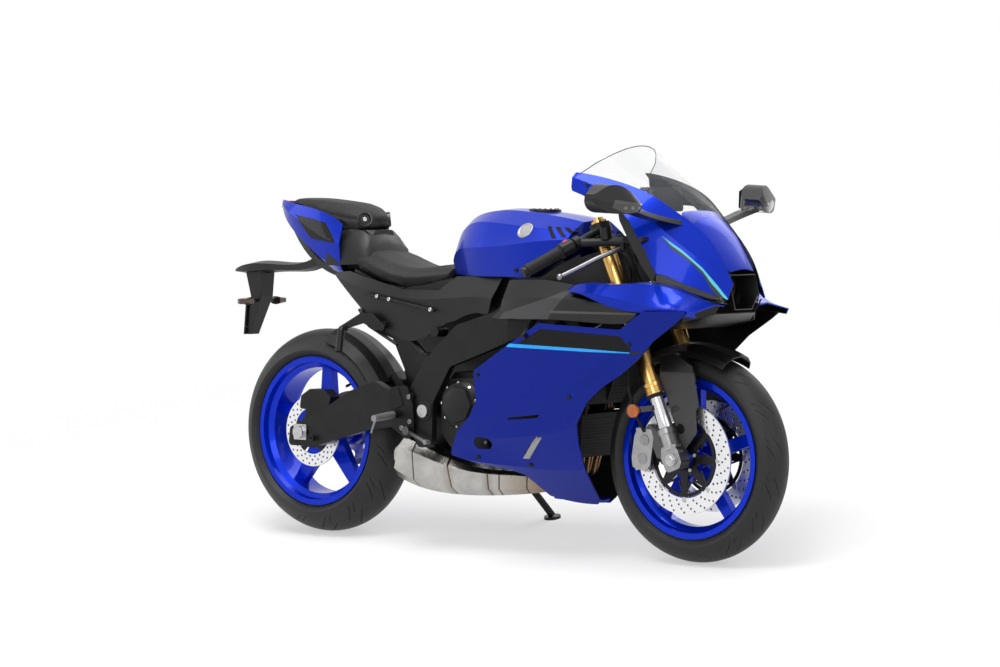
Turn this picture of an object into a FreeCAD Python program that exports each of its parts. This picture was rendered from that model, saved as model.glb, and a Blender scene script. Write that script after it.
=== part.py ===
"""Faired sport motorcycle, modelled upright and then leaned onto its side stand.

Lengths are millimetres. The bike is drawn with +X forward, +Y to its left and +Z up, the floor at z = 0
and the middle of the wheelbase at x = 0. STANCE then leans everything onto the stand.
"""
import FreeCAD, Part
import math
import os
from FreeCAD import Placement, Rotation, Vector

doc = FreeCAD.newDocument("sport_bike")
sheet = doc.addObject("Spreadsheet::Sheet", "sizes")


class Size(float):
    """A length from the sheet that remembers the expression it was worked out with."""

    def __new__(cls, value, text=None):
        size = float.__new__(cls, value)
        size.text = text or "%.6g" % value
        return size

    def _join(self, other, value, form):
        return Size(value, form % (self.text, other.text if isinstance(other, Size) else "%.6g" % other))

    def __add__(self, other):
        return self._join(other, float(self) + float(other), "(%s + %s)")

    def __sub__(self, other):
        return self._join(other, float(self) - float(other), "(%s - %s)")

    def __radd__(self, other):
        return self + other

    def __mul__(self, other):
        return self._join(other, float(self) * float(other), "(%s * %s)")

    def __truediv__(self, other):
        return self._join(other, float(self) / float(other), "(%s / %s)")

    def __neg__(self):
        return Size(-float(self), "(0 - %s)" % self.text)


SHEET_ROWS = []


def size(alias, value):
    """Writes one driving dimension to the sheet and returns it."""
    SHEET_ROWS.append(alias)
    row = len(SHEET_ROWS)
    sheet.set("A%d" % row, alias)
    sheet.set("B%d" % row, "%g" % value)
    sheet.setAlias("B%d" % row, alias)
    return Size(value, "sizes." + alias)


# Stance and chassis geometry
WHEELBASE = size("wheelbase", 1420)
RAKE_DEG = size("rake_angle", 22.65)
TRAIL = size("trail_length", 94)
LEAN_DEG = size("lean_angle", 10.5)
PANEL = size("panel_wall", 3.5)
FIT_GAP = size("fit_gap", 0.3)

# Wheels and tyres
RIM_SEAT = size("rim_seat_radius", 218.5)
RIM_LIP = size("rim_lip_height", 12.5)
RIM_WALL = size("rim_wall", 7)
FRONT_TYRE_R = size("front_tyre_radius", 300)
FRONT_TYRE_W = size("front_tyre_width", 120)
FRONT_CROWN = size("front_tyre_crown", 62)
FRONT_RIM_W = size("front_rim_width", 89)
REAR_TYRE_R = size("rear_tyre_radius", 316)
REAR_TYRE_W = size("rear_tyre_width", 180)
REAR_CROWN = size("rear_tyre_crown", 95)
REAR_RIM_W = size("rear_rim_width", 140)
SPOKE_COUNT = size("spoke_count", 5)
SPOKE_ROOT = size("spoke_root_width", 44)
SPOKE_TIP = size("spoke_tip_width", 34)
SPOKE_DEPTH = size("spoke_depth", 26)
FRONT_AXLE_R = size("front_axle_radius", 12.5)
REAR_AXLE_R = size("rear_axle_radius", 12.5)
AXLE_CLEARANCE = size("axle_clearance", 0.05)
FRONT_HUB_R = size("front_hub_radius", 34)
REAR_HUB_R = size("rear_hub_radius", 42)

# Brakes and chain drive
FRONT_DISC_R = size("front_disc_radius", 160)
FRONT_DISC_BAND = size("front_disc_band", 35)
FRONT_DISC_Y = size("front_disc_offset", 63)
DISC_T = size("disc_thickness", 5)
REAR_DISC_R = size("rear_disc_radius", 110)
REAR_DISC_BAND = size("rear_disc_band", 38)
REAR_DISC_Y = size("rear_disc_offset", 76)
CHAIN_Y = size("chain_line", 106)
CHAIN_W = size("chain_width", 20)
CHAIN_H = size("chain_plate_height", 15)
CHAIN_PITCH = size("chain_pitch", 15.875)
REAR_TEETH = size("rear_teeth", 43)
FRONT_TEETH = size("front_teeth", 16)
SPROCKET_T = size("sprocket_thickness", 7)
GEARBOX_X = size("gearbox_shaft_x", -78)
GEARBOX_Z = size("gearbox_shaft_height", 418)

# Front fork
FORK_Y = size("fork_half_spacing", 105)
FORK_TUBE_R = size("fork_tube_radius", 23.5)
FORK_SLIDER_R = size("fork_slider_radius", 20.5)
FORK_TOP = size("fork_top_along", 727)
FORK_TUBE_END = size("fork_tube_end_along", 196)
FORK_FOOT_END = size("fork_foot_end_along", 92)
LOWER_CLAMP_AT = size("lower_clamp_along", 470)
UPPER_CLAMP_AT = size("upper_clamp_along", 668)
STEM_R = size("stem_radius", 15)

# Swingarm
PIVOT_X = size("pivot_x", -170)
PIVOT_Z = size("pivot_height", 405)
ARM_RIGHT_Y = size("right_arm_face", 132)
ARM_LEFT_Y = size("left_arm_face", 152)
ARM_T = size("arm_thickness", 28)

# Side stand
STAND_X = size("stand_pivot_x", -140)
STAND_Y = size("stand_pivot_y", 165)
STAND_Z = size("stand_pivot_height", 262)
STAND_R = size("stand_tube_radius", 11)
STAND_REACH = size("stand_foot_reach", 305)

FRONT_X = WHEELBASE / 2
REAR_X = -(WHEELBASE / 2)
RAKE = math.radians(RAKE_DEG)
LEAN = math.radians(LEAN_DEG)
X, Y, Z = Vector(1, 0, 0), Vector(0, 1, 0), Vector(0, 0, 1)
STEER_AXIS = Vector(-math.sin(RAKE), 0, math.cos(RAKE))
FRONT_AXLE = Vector(FRONT_X, 0, FRONT_TYRE_R)
REAR_AXLE = Vector(REAR_X, 0, REAR_TYRE_R)
STEER_FOOT = Vector(FRONT_X + TRAIL, 0, 0)


def along_fork(distance, y=0.0):
    """A point that far up the fork's own line from the front axle."""
    return FRONT_AXLE + STEER_AXIS * distance + Vector(0, y, 0)


def steer_axis_at(distance):
    """The point of the steering axis level with that distance up the fork."""
    offset = (STEER_FOOT - FRONT_AXLE).dot(STEER_AXIS)
    return STEER_FOOT + STEER_AXIS * (distance - offset)


# Shapes made straight from Part

def polygon(points):
    vectors = [Vector(*p) for p in points]
    return Part.makePolygon(vectors + vectors[:1])


def rounded(points, radius):
    """A closed outline of (a, b) points whose corners are rounded; radius is one number or one per corner."""
    count = len(points)
    radii = radius if isinstance(radius, (list, tuple)) else [radius] * count
    edges, starts = [], []
    for i, (corner, r) in enumerate(zip(points, radii)):
        here = Vector(corner[0], corner[1], 0)
        back = Vector(points[i - 1][0], points[i - 1][1], 0) - here
        ahead = Vector(points[(i + 1) % count][0], points[(i + 1) % count][1], 0) - here
        half = back.getAngle(ahead) / 2
        reach = min(r / math.tan(half), 0.49 * back.Length, 0.49 * ahead.Length) if r else 0
        if reach < 0.01 or math.pi / 2 - half < 0.01:
            starts.append((here, here, None))
            continue
        enter, leave = here + back.normalize() * reach, here + ahead.normalize() * reach
        middle_way = (back + ahead).normalize()
        real = reach * math.tan(half)
        middle = here + middle_way * (real / math.sin(half) - real)
        starts.append((enter, leave, middle))
    for i, (enter, leave, middle) in enumerate(starts):
        if middle is not None:
            edges.append(Part.Arc(enter, middle, leave).toShape())
        following = starts[(i + 1) % count][0]
        if (following - leave).Length > 1e-6:
            edges.append(Part.makeLine(leave, following))
    return Part.Wire(edges)


def side_plate(points, y_from, y_to, radius=0):
    """A side-view outline of (x, z) points with thickness from y_from to y_to."""
    wire = rounded(points, radius)
    wire.rotate(Vector(), X, 90)
    wire.translate(Vector(0, y_from, 0))
    return Part.Face(wire).extrude(Vector(0, y_to - y_from, 0))


def top_plate(points, z_from, z_to, radius=0):
    """A top-view outline of (x, y) points with thickness from z_from to z_to."""
    wire = rounded(points, radius)
    wire.translate(Vector(0, 0, z_from))
    return Part.Face(wire).extrude(Vector(0, 0, z_to - z_from))


def front_plate(points, x_from, x_to, radius=0):
    """A front-view outline of (y, z) points with thickness from x_from to x_to."""
    wire = rounded(points, radius)
    wire.rotate(Vector(), Vector(1, 1, 1), 120)
    wire.translate(Vector(x_from, 0, 0))
    return Part.Face(wire).extrude(Vector(x_to - x_from, 0, 0))


def loft(sections, ruled=False):
    return Part.makeLoft([polygon(s) for s in sections], True, ruled)


def across(stations, ruled=False):
    """A loft through sections that each lie at one x: [(x, [(y, z), ...]), ...]."""
    return loft([[(x, y, z) for y, z in section] for x, section in stations], ruled)


def sideways(stations, ruled=False):
    """A loft through sections that each lie at one y: [(y, [(x, z), ...]), ...]."""
    return loft([[(x, y, z) for x, z in section] for y, section in stations], ruled)


def rod(start, end, radius, end_radius=None):
    way = end - start
    if end_radius is None or abs(end_radius - radius) < 1e-9:
        return Part.makeCylinder(radius, way.Length, start, way)
    return Part.makeCone(radius, end_radius, way.Length, start, way)


def pipe(points, radius, bend):
    """A round tube along straight runs joined by tangent bends."""
    pieces, last = [], Vector(*points[0])
    for before, here, after in zip(points, points[1:], points[2:]):
        here_v = Vector(*here)
        back, ahead = Vector(*before) - here_v, Vector(*after) - here_v
        half = back.getAngle(ahead) / 2
        reach = min(bend / math.tan(half), 0.45 * back.Length, 0.45 * ahead.Length)
        turn_r = reach * math.tan(half)
        enter, leave = here_v + back.normalize() * reach, here_v + ahead.normalize() * reach
        centre = here_v + (back + ahead).normalize() * (turn_r / math.sin(half))
        axis = back.cross(ahead) * -1
        disc = Part.Face(Part.Wire(Part.makeCircle(radius, enter, back)))
        pieces += [rod(last, enter, radius), disc.revolve(centre, axis, 180 - math.degrees(2 * half))]
        last = leave
    pieces.append(rod(last, Vector(*points[-1]), radius))
    return fused(pieces)


def mirrored(shape):
    return shape.mirror(Vector(), Y)


def both_sides(shape):
    return Part.makeCompound([shape, mirrored(shape)])


def fused(shapes):
    joined = shapes[0]
    if len(shapes) > 1:
        joined = joined.fuse(list(shapes[1:]))
    return joined.removeSplitter()


# Sub-parts are kept by label, each with the body that it moves with
SUBPARTS = {}


def keep(label, thing, body):
    """Registers a document object, or stores a shape as a Part::Feature, under its label."""
    if isinstance(thing, Part.Shape):
        feature = doc.addObject("Part::Feature", label)
        feature.Shape = thing
        thing = feature
    thing.Label = label
    SUBPARTS[label] = (thing, body)
    return thing


def shape_of(label):
    return SUBPARTS[label][0].Shape.copy()


# PartDesign helpers

def plane_of(body, role):
    return [f for f in body.Origin.OriginFeatures if f.Role == role][0]


def new_sketch(body, role, name):
    sketch = body.newObject("Sketcher::SketchObject", name)
    sketch.AttachmentSupport = [(plane_of(body, role), "")]
    sketch.MapMode = "FlatFace"
    return sketch


def pin_point(sketch, geo, pos, point):
    """Fixes a sketch point at expressions of the sheet's sizes, measured from the sketch's origin."""
    import Sketcher
    for kind, value in zip(("DistanceX", "DistanceY"), point):
        if abs(value) < 1e-9:
            on_axis = -2 if kind == "DistanceX" else -1
            sketch.addConstraint(Sketcher.Constraint("PointOnObject", geo, pos, on_axis))
            continue
        index = sketch.addConstraint(Sketcher.Constraint(kind, -1, 1, geo, pos, float(value)))
        if isinstance(value, Size):
            sketch.setExpression("Constraints[%d]" % index, value.text)


def draw_profile(sketch, points):
    """A closed outline of straight lines; a point with a third value is the middle of an arc."""
    import Sketcher
    corners = [p for p in points if len(p) == 2]
    ends, arcs = [], {}
    for i, p in enumerate(points):
        if len(p) == 3:
            arcs[corners.index(points[i - 1])] = p
    for i, corner in enumerate(corners):
        following = corners[(i + 1) % len(corners)]
        start, end = Vector(corner[0], corner[1], 0), Vector(following[0], following[1], 0)
        if i not in arcs:
            ends.append((sketch.addGeometry(Part.LineSegment(start, end)), 1, 2))
            continue
        middle = Vector(arcs[i][0], arcs[i][1], 0)
        centre = Part.Arc(start, middle, end).toShape().Curve.Center
        anticlockwise = (middle - start).cross(end - middle).z > 0
        near, far = (start, end) if anticlockwise else (end, start)
        from_angle, to_angle = (math.atan2(p.y - centre.y, p.x - centre.x) for p in (near, far))
        curve = Part.ArcOfCircle(Part.Circle(centre, Z, (start - centre).Length), from_angle, to_angle)
        ends.append((sketch.addGeometry(curve),) + ((1, 2) if anticlockwise else (2, 1)))
    for i, (geo, first, last) in enumerate(ends):
        next_geo, next_first, _ = ends[(i + 1) % len(ends)]
        sketch.addConstraint(Sketcher.Constraint("Coincident", geo, last, next_geo, next_first))
        pin_point(sketch, geo, first, corners[i])
    for i, middle in arcs.items():
        radius = middle[2]
        index = sketch.addConstraint(Sketcher.Constraint("Radius", ends[i][0], float(radius)))
        if isinstance(radius, Size):
            sketch.setExpression("Constraints[%d]" % index, radius.text)


def draw_circle(sketch, centre, radius):
    import Sketcher
    geo = sketch.addGeometry(Part.Circle(Vector(centre[0], centre[1], 0), Z, float(radius)))
    pin_point(sketch, geo, 3, centre)
    index = sketch.addConstraint(Sketcher.Constraint("Radius", geo, float(radius)))
    if isinstance(radius, Size):
        sketch.setExpression("Constraints[%d]" % index, radius.text)


def revolve(body, name, points, groove=False):
    """Turns a profile of (radius, offset) points about the body's Y axis."""
    sketch = new_sketch(body, "XY_Plane", name + "_profile")
    draw_profile(sketch, points)
    feature = body.newObject("PartDesign::Groove" if groove else "PartDesign::Revolution", name)
    feature.Profile = sketch
    feature.ReferenceAxis = (sketch, ["V_Axis"])
    feature.Angle = 360
    return feature


def pad_across(body, name, draw, length, centre):
    """Pads a side-view (X, Z) outline over a length of Y around centre."""
    sketch = new_sketch(body, "XZ_Plane", name + "_outline")
    sketch.AttachmentOffset = Placement(Vector(0, 0, -float(centre)), Rotation())
    if isinstance(centre, Size):
        sketch.setExpression(".AttachmentOffset.Base.z", (-centre).text)
    draw(sketch)
    feature = body.newObject("PartDesign::Pad", name)
    feature.Profile = sketch
    feature.Midplane = True
    feature.Length = float(length)
    if isinstance(length, Size):
        feature.setExpression("Length", length.text)
    return feature


def cut_across(body, name, draw):
    """Cuts a side-view outline right through the body."""
    sketch = new_sketch(body, "XZ_Plane", name + "_outline")
    draw(sketch)
    feature = body.newObject("PartDesign::Pocket", name)
    feature.Profile = sketch
    feature.Type = 1
    feature.Midplane = True
    return feature


def polar(body, feature, count, name):
    pattern = body.newObject("PartDesign::PolarPattern", name)
    pattern.Originals = [feature]
    pattern.Axis = (plane_of(body, "Y_Axis"), [""])
    pattern.Angle = 360
    pattern.Occurrences = int(count)
    if isinstance(count, Size):
        pattern.setExpression("Occurrences", count.text)
    body.Tip = pattern
    return pattern


def new_body(label, place=None):
    body = doc.addObject("PartDesign::Body", label)
    body.Label = label
    if place is not None:
        body.Placement = Placement(place, Rotation())
    return body


def root(value):
    return Size(math.sqrt(value), "sqrt(%s)" % value.text)


def offset_inside(line, wall):
    """The inner line of a skin whose outer line runs from the top outwards and down."""
    inner = []
    for i, (y, z) in enumerate(line):
        normals = []
        for a, b in ((i - 1, i), (i, i + 1)):
            if a >= 0 and b < len(line):
                run, drop = line[b][0] - line[a][0], line[b][1] - line[a][1]
                length = math.hypot(run, drop)
                normals.append((drop / length, -run / length))
        ny, nz = sum(n[0] for n in normals), sum(n[1] for n in normals)
        reach = wall * len(normals) / (ny * ny + nz * nz)
        inner.append((y + ny * reach, z + nz * reach))
    return inner


def skin(stations, wall):
    """A moulded panel: outer lines of (y, z) points at each x, given thickness inwards."""
    return across([(x, line + offset_inside(line, wall)[::-1]) for x, line in stations])


def ring_part(profile, centre, from_deg, to_deg):
    """Turns a closed (radius, y) profile about an axle, angles measured from straight ahead upwards."""
    wire = rounded(profile, 0)
    face = Part.Face(wire)
    face.rotate(Vector(), Y, -from_deg)
    solid = face.revolve(Vector(), Y, -(to_deg - from_deg))
    solid.translate(centre)
    return solid


def in_fork(shape):
    """Moves a shape drawn upright at the front axle into the fork's own slope."""
    shape.rotate(Vector(), Y, -float(RAKE_DEG))
    shape.translate(FRONT_AXLE)
    return shape


OFFSET = FRONT_TYRE_R * math.sin(RAKE) - TRAIL * math.cos(RAKE)

# Wheels: rim, spokes and hub are one PartDesign body each


def make_tyre(label, body_name, centre, radius, width, crown, rim_width):
    body = new_body(label, centre)
    half = width / 2
    edge = radius - crown + root(crown * crown - half * half)
    bead = rim_width / 2 - FIT_GAP
    seat, shoulder = RIM_SEAT + FIT_GAP, RIM_SEAT + RIM_LIP + 3
    tread = [(radius - crown + root(crown * crown - half * f * half * f), half * f) for f in (0.9, 0.62, 0.22)]
    tread_back = [(r, -y) for r, y in tread[::-1]]
    revolve(body, "Carcass", [(seat, bead), (shoulder, bead), (edge, half)] + tread + tread_back + [
        (edge, -half), (shoulder, -bead), (seat, -bead)])
    return keep(label, body, body_name)


def spoke_outline(root_r, tip_r, root_w, tip_w):
    def draw(sketch):
        draw_profile(sketch, [(-(root_w / 2), root_r), (-(tip_w / 2), tip_r), (tip_w / 2, tip_r),
                              (root_w / 2, root_r)])
    return draw


def make_rim(label, body_name, centre, rim_width, hub_r, hub_half, bore, flange_r, spoke_w):
    body = new_body(label, centre)
    half, lip = rim_width / 2, RIM_SEAT + RIM_LIP
    drop = RIM_SEAT - 15
    revolve(body, "Barrel", [
        (RIM_SEAT, half), (lip, half), (lip, half + 4.5), (RIM_SEAT - 4, half + 4.5),
        (RIM_SEAT - RIM_WALL, half - 15), (drop - RIM_WALL, half - 27), (drop - RIM_WALL, -(half - 27)),
        (RIM_SEAT - RIM_WALL, -(half - 15)), (RIM_SEAT - 4, -(half + 4.5)), (lip, -(half + 4.5)),
        (lip, -half), (RIM_SEAT, -half), (RIM_SEAT, -(half - 17)), (drop, -(half - 28)), (drop, half - 28),
        (RIM_SEAT, half - 17)])
    pad = pad_across(body, "Spoke", spoke_outline(hub_r - 12, drop - RIM_WALL + 3, *spoke_w), SPOKE_DEPTH,
                     0.0)
    polar(body, pad, SPOKE_COUNT, "Spokes")
    side_a, side_b = hub_half
    hub = revolve(body, "Hub", [
        (bore + 0, side_a), (flange_r, side_a), (flange_r, side_a - 9), (hub_r, side_a - 22),
        (hub_r, -(side_b - 22)), (flange_r, -(side_b - 9)), (flange_r, -side_b), (bore + 0, -side_b)])
    groove = revolve(body, "Bore", [(0.0, side_a + 5), (bore, side_a + 5), (bore, -(side_b + 5)),
                                    (0.0, -(side_b + 5))], groove=True)
    body.Tip = groove
    return keep(label, body, body_name)


make_tyre("front_tyre", "front_wheel", FRONT_AXLE, FRONT_TYRE_R, FRONT_TYRE_W, FRONT_CROWN, FRONT_RIM_W)
make_tyre("rear_tyre", "rear_wheel", REAR_AXLE, REAR_TYRE_R, REAR_TYRE_W, REAR_CROWN, REAR_RIM_W)
FRONT_HUB_HALF = size("front_hub_half_width", 58)
REAR_HUB_HALF = size("rear_hub_half_width", 70)
REAR_SPOKE_ROOT = size("rear_spoke_root_width", 66)
REAR_SPOKE_TIP = size("rear_spoke_tip_width", 38)
make_rim("front_rim", "front_wheel", FRONT_AXLE, FRONT_RIM_W, FRONT_HUB_R, (FRONT_HUB_HALF, FRONT_HUB_HALF),
         FRONT_AXLE_R + AXLE_CLEARANCE, size("front_flange_radius", 46), (SPOKE_ROOT, SPOKE_TIP))
make_rim("rear_rim", "rear_wheel", REAR_AXLE, REAR_RIM_W, REAR_HUB_R,
         (size("rear_hub_left", 98), REAR_HUB_HALF),
         REAR_AXLE_R + AXLE_CLEARANCE, size("rear_flange_radius", 52), (REAR_SPOKE_ROOT, REAR_SPOKE_TIP))

# Discs: a braking band carried by a spider


def make_disc(label, body_name, centre, radius, band, inner_y, outer_y, hub_y, arms, bolt_r, bore_r):
    """inner_y and outer_y bound the band, hub_y is the hub face that the spider sits on."""
    body = new_body(label, centre)
    revolve(body, "Band", [(radius, inner_y), (radius, outer_y), (radius - band, outer_y),
                           (radius - band, inner_y)])
    middle = (inner_y + outer_y) / 2

    def arm(sketch):
        draw_profile(sketch, [(Size(-13.0), bolt_r), (Size(-8.0), radius - band + 4), (Size(8.0), radius - band + 4),
                              (Size(13.0), bolt_r)])
    pad = pad_across(body, "Arm", arm, DISC_T - 1, middle)
    polar(body, pad, arms, "Arms")
    ring = revolve(body, "Centre", [(bore_r, hub_y), (bolt_r + 6, hub_y), (bolt_r + 6, outer_y),
                                    (bore_r, outer_y)])
    body.Tip = ring
    return keep(label, body, body_name)


FRONT_ARMS = size("front_disc_arms", 8)
DISC_IN, DISC_OUT = FRONT_DISC_Y, FRONT_DISC_Y + DISC_T
make_disc("front_disc_left", "front_wheel", FRONT_AXLE, FRONT_DISC_R, FRONT_DISC_BAND, DISC_IN, DISC_OUT,
          FRONT_HUB_HALF, FRONT_ARMS, size("front_disc_bolt_radius", 42), size("front_disc_bore", 30))
make_disc("front_disc_right", "front_wheel", FRONT_AXLE, FRONT_DISC_R, FRONT_DISC_BAND, -DISC_IN, -DISC_OUT,
          -FRONT_HUB_HALF, FRONT_ARMS, Size(42, "sizes.front_disc_bolt_radius"),
          Size(30, "sizes.front_disc_bore"))
make_disc("rear_disc", "rear_wheel", REAR_AXLE, REAR_DISC_R, REAR_DISC_BAND, -REAR_DISC_Y,
          -(REAR_DISC_Y + DISC_T), -REAR_HUB_HALF, size("rear_disc_arms", 5),
          size("rear_disc_bolt_radius", 48), size("rear_disc_bore", 32))

# Rear sprocket with real teeth cut between the rollers' places
REAR_PITCH_R = REAR_TEETH * CHAIN_PITCH / (2 * math.pi)
FRONT_PITCH_R = FRONT_TEETH * CHAIN_PITCH / (2 * math.pi)


def make_sprocket(label, body_name, centre, pitch_r, teeth, hub_y, bore_r, windows):
    body = new_body(label, centre)
    near, far = CHAIN_Y - SPROCKET_T / 2, CHAIN_Y + SPROCKET_T / 2
    tip = pitch_r - 2.5
    revolve(body, "Plate", [(bore_r, near), (tip, near), (tip, far), (bore_r, far)])
    if hub_y is not None:
        revolve(body, "Carrier", [(bore_r, hub_y), (bore_r + 32, hub_y), (bore_r + 32, near + 1),
                                  (bore_r, near + 1)])

    def gap(sketch):
        draw_profile(sketch, [(Size(-5.2), tip + 2), (Size(-2.9), tip - 6), (Size(2.9), tip - 6), (Size(5.2), tip + 2)])
    pocket = cut_across(body, "Tooth_gap", gap)
    polar(body, pocket, teeth, "Teeth")
    if windows:
        def window(sketch):
            draw_circle(sketch, (Size(0.0), pitch_r - 26), Size(13.0))
        cut = cut_across(body, "Window", window)
        polar(body, cut, windows, "Windows")
    return keep(label, body, body_name)


make_sprocket("rear_sprocket", "rear_wheel", REAR_AXLE, REAR_PITCH_R, REAR_TEETH,
              Size(98, "sizes.rear_hub_left"), size("sprocket_bore", 22), size("sprocket_windows", 8))

# Steering: axle, sliders, tubes, yokes
SLIDER_GAP = FIT_GAP
axle = rod(along_fork(0, -132), along_fork(0, 132), FRONT_AXLE_R)
axle = fused([axle, rod(along_fork(0, -136), along_fork(0, -128), 17), rod(along_fork(0, 128), along_fork(0, 136), 17),
              rod(along_fork(0, 58.3), along_fork(0, 82), 18), rod(along_fork(0, -82), along_fork(0, -58.3), 18)])
keep("front_axle", axle, "steering")


def fork_leg(side):
    y = side * float(FORK_Y)
    slider = rod(Vector(0, y, FORK_FOOT_END - 12), Vector(0, y, FORK_TUBE_END + 95), FORK_SLIDER_R)
    seal = rod(Vector(0, y, FORK_TUBE_END - 9), Vector(0, y, FORK_TUBE_END - 0.3), FORK_TUBE_R - 1)
    foot = side_plate([(-32, -22), (-20, -30), (16, -30), (28, -16), (30, 18), (20, 44), (-22, 44), (-34, 16)],
                      y - 23, y + 23, 8)
    foot = fused([foot, rod(Vector(0, y, 30), Vector(0, y, FORK_FOOT_END), FORK_SLIDER_R + 5),
                  rod(Vector(0, y, FORK_FOOT_END - 16), Vector(0, y, FORK_FOOT_END), FORK_SLIDER_R + 7)])
    foot = foot.cut(rod(Vector(0, y - 30, 0), Vector(0, y + 30, 0), FRONT_AXLE_R))
    lug = side_plate([(-74, 30), (-28, 4), (-20, 60), (-64, 132), (-80, 120)], y - side * 22 - 7, y - side * 22 + 9, 5)
    return fused([slider, seal, foot, lug])


sliders = fused([fork_leg(1), fork_leg(-1)]) if False else Part.makeCompound([fork_leg(1), fork_leg(-1)])
keep("fork_sliders", in_fork(sliders), "steering")


def fork_tube(side):
    y = side * float(FORK_Y)
    low, high = float(FORK_TUBE_END), float(FORK_TOP)
    tube = rod(Vector(0, y, low), Vector(0, y, high), FORK_TUBE_R)
    collar = rod(Vector(0, y, low), Vector(0, y, low + 34), FORK_TUBE_R + 1.5)
    cap = rod(Vector(0, y, high), Vector(0, y, high + 9), FORK_TUBE_R - 8)
    bore = rod(Vector(0, y, low - 1), Vector(0, y, low + 110), FORK_SLIDER_R + SLIDER_GAP)
    return fused([tube, collar, cap]).cut(bore)


keep("fork_tubes", in_fork(Part.makeCompound([fork_tube(1), fork_tube(-1)])), "steering")


def yoke(outline, low, high, radius):
    plate = top_plate(outline, low, high, radius)
    for side in (1, -1):
        plate = plate.cut(rod(Vector(0, side * float(FORK_Y), low - 1), Vector(0, side * float(FORK_Y), high + 1),
                              FORK_TUBE_R + 0.05))
    return plate


clamp_r = float(FORK_TUBE_R) + 11
fork_y = float(FORK_Y)
lower_outline = [(clamp_r, fork_y + 20), (clamp_r - 12, fork_y + clamp_r), (-22, fork_y + clamp_r),
                 (-36, fork_y + 12), (-66, 46), (-66, -46), (-36, -fork_y - 12), (-22, -fork_y - clamp_r),
                 (clamp_r - 12, -fork_y - clamp_r), (clamp_r, -fork_y - 20), (4, -44), (4, 44)]
lower_yoke = yoke(lower_outline, LOWER_CLAMP_AT - 22, LOWER_CLAMP_AT + 16, 10)
upper_yoke = yoke(lower_outline, UPPER_CLAMP_AT - 12, UPPER_CLAMP_AT + 12, 10)
stem = rod(Vector(-OFFSET, 0, LOWER_CLAMP_AT - 34), Vector(-OFFSET, 0, UPPER_CLAMP_AT + 22), STEM_R)
stem_nut = rod(Vector(-OFFSET, 0, UPPER_CLAMP_AT + 12), Vector(-OFFSET, 0, UPPER_CLAMP_AT + 22), 20)
stem_bore = rod(Vector(-OFFSET, 0, UPPER_CLAMP_AT - 29), Vector(-OFFSET, 0, UPPER_CLAMP_AT + 30), 9)
stem_hollow = rod(Vector(-OFFSET, 0, LOWER_CLAMP_AT - 40), Vector(-OFFSET, 0, UPPER_CLAMP_AT - 28), 10.5)
yokes = fused([lower_yoke, upper_yoke, stem, stem_nut]).cut([stem_bore, stem_hollow])
keep("fork_yokes", in_fork(yokes), "steering")

# Handlebars clamp round the tubes under the top yoke
BAR_R = size("handlebar_radius", 11)
GRIP_R = size("grip_radius", 16)
BAR_AT = size("handlebar_clamp_along", 702)


def bar_side(side):
    centre = along_fork(BAR_AT, side * float(FORK_Y))
    clamp = rod(centre - STEER_AXIS * 16, centre + STEER_AXIS * 16, FORK_TUBE_R + 8)
    start = centre + Vector(10, side * 25, -3)
    end = Vector(352, side * 338, 832)
    way = (end - start).normalize()
    bar = rod(start, end, BAR_R)
    grip_start = end - way * 122
    grip = rod(grip_start, end - way * 2, GRIP_R)
    flange = rod(grip_start - way * 4, grip_start, GRIP_R + 6)
    cap = rod(end - way * 2, end + way * 12, 14)
    switch = rod(grip_start - way * 40, grip_start - way * 4, 21)
    perch_at = grip_start - way * 56
    perch = rod(perch_at - way * 9, perch_at + way * 9, BAR_R + 8)
    cylinder = rod(perch_at, Vector(545, side * 140, 914), 12)
    tank_cup = rod(Vector(500, side * 158, 920), Vector(496, side * 158, 954), 17)
    lever = pipe([(545, side * 134, 902), (500, side * 205, 866), (444, side * 300, 816)], 6, 60)
    lever = fused([lever, rod(Vector(545, side * 140, 890), Vector(545, side * 140, 914), 9)])
    shape = fused([clamp, bar, grip, flange, cap, switch, perch, cylinder, tank_cup, lever])
    return shape.cut(rod(centre - STEER_AXIS * 30, centre + STEER_AXIS * 30, FORK_TUBE_R + 0.05))


keep("handlebars", both_sides(bar_side(1)), "steering")

# Front brake calipers, radially mounted behind the legs
CALIPER_GAP = size("caliper_disc_gap", 5.5)


def caliper_outline(centre_x, centre_z, tilt_deg):
    points = [(-30, -58), (18, -62), (30, -40), (30, 40), (18, 62), (-30, 58), (-38, 30), (-38, -30)]
    turn = math.radians(tilt_deg)
    return [(centre_x + a * math.cos(turn) - b * math.sin(turn), centre_z + a * math.sin(turn) + b * math.cos(turn))
            for a, b in points]


def front_caliper():
    low, high = float(DISC_IN) - float(CALIPER_GAP), float(DISC_OUT) + float(CALIPER_GAP)
    body = side_plate(caliper_outline(582, 322, -9), low - 12, high + 17, 8)
    slot = Part.makeCylinder(float(FRONT_DISC_R) + 6, high - low, FRONT_AXLE + Vector(0, low, 0), Y)
    return body.cut(slot)


caliper_right = front_caliper()
calipers = both_sides(caliper_right)
calipers = Part.makeCompound([s.cut(shape_of("fork_sliders")) for s in calipers.Solids])
keep("front_calipers", calipers, "steering")

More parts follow.
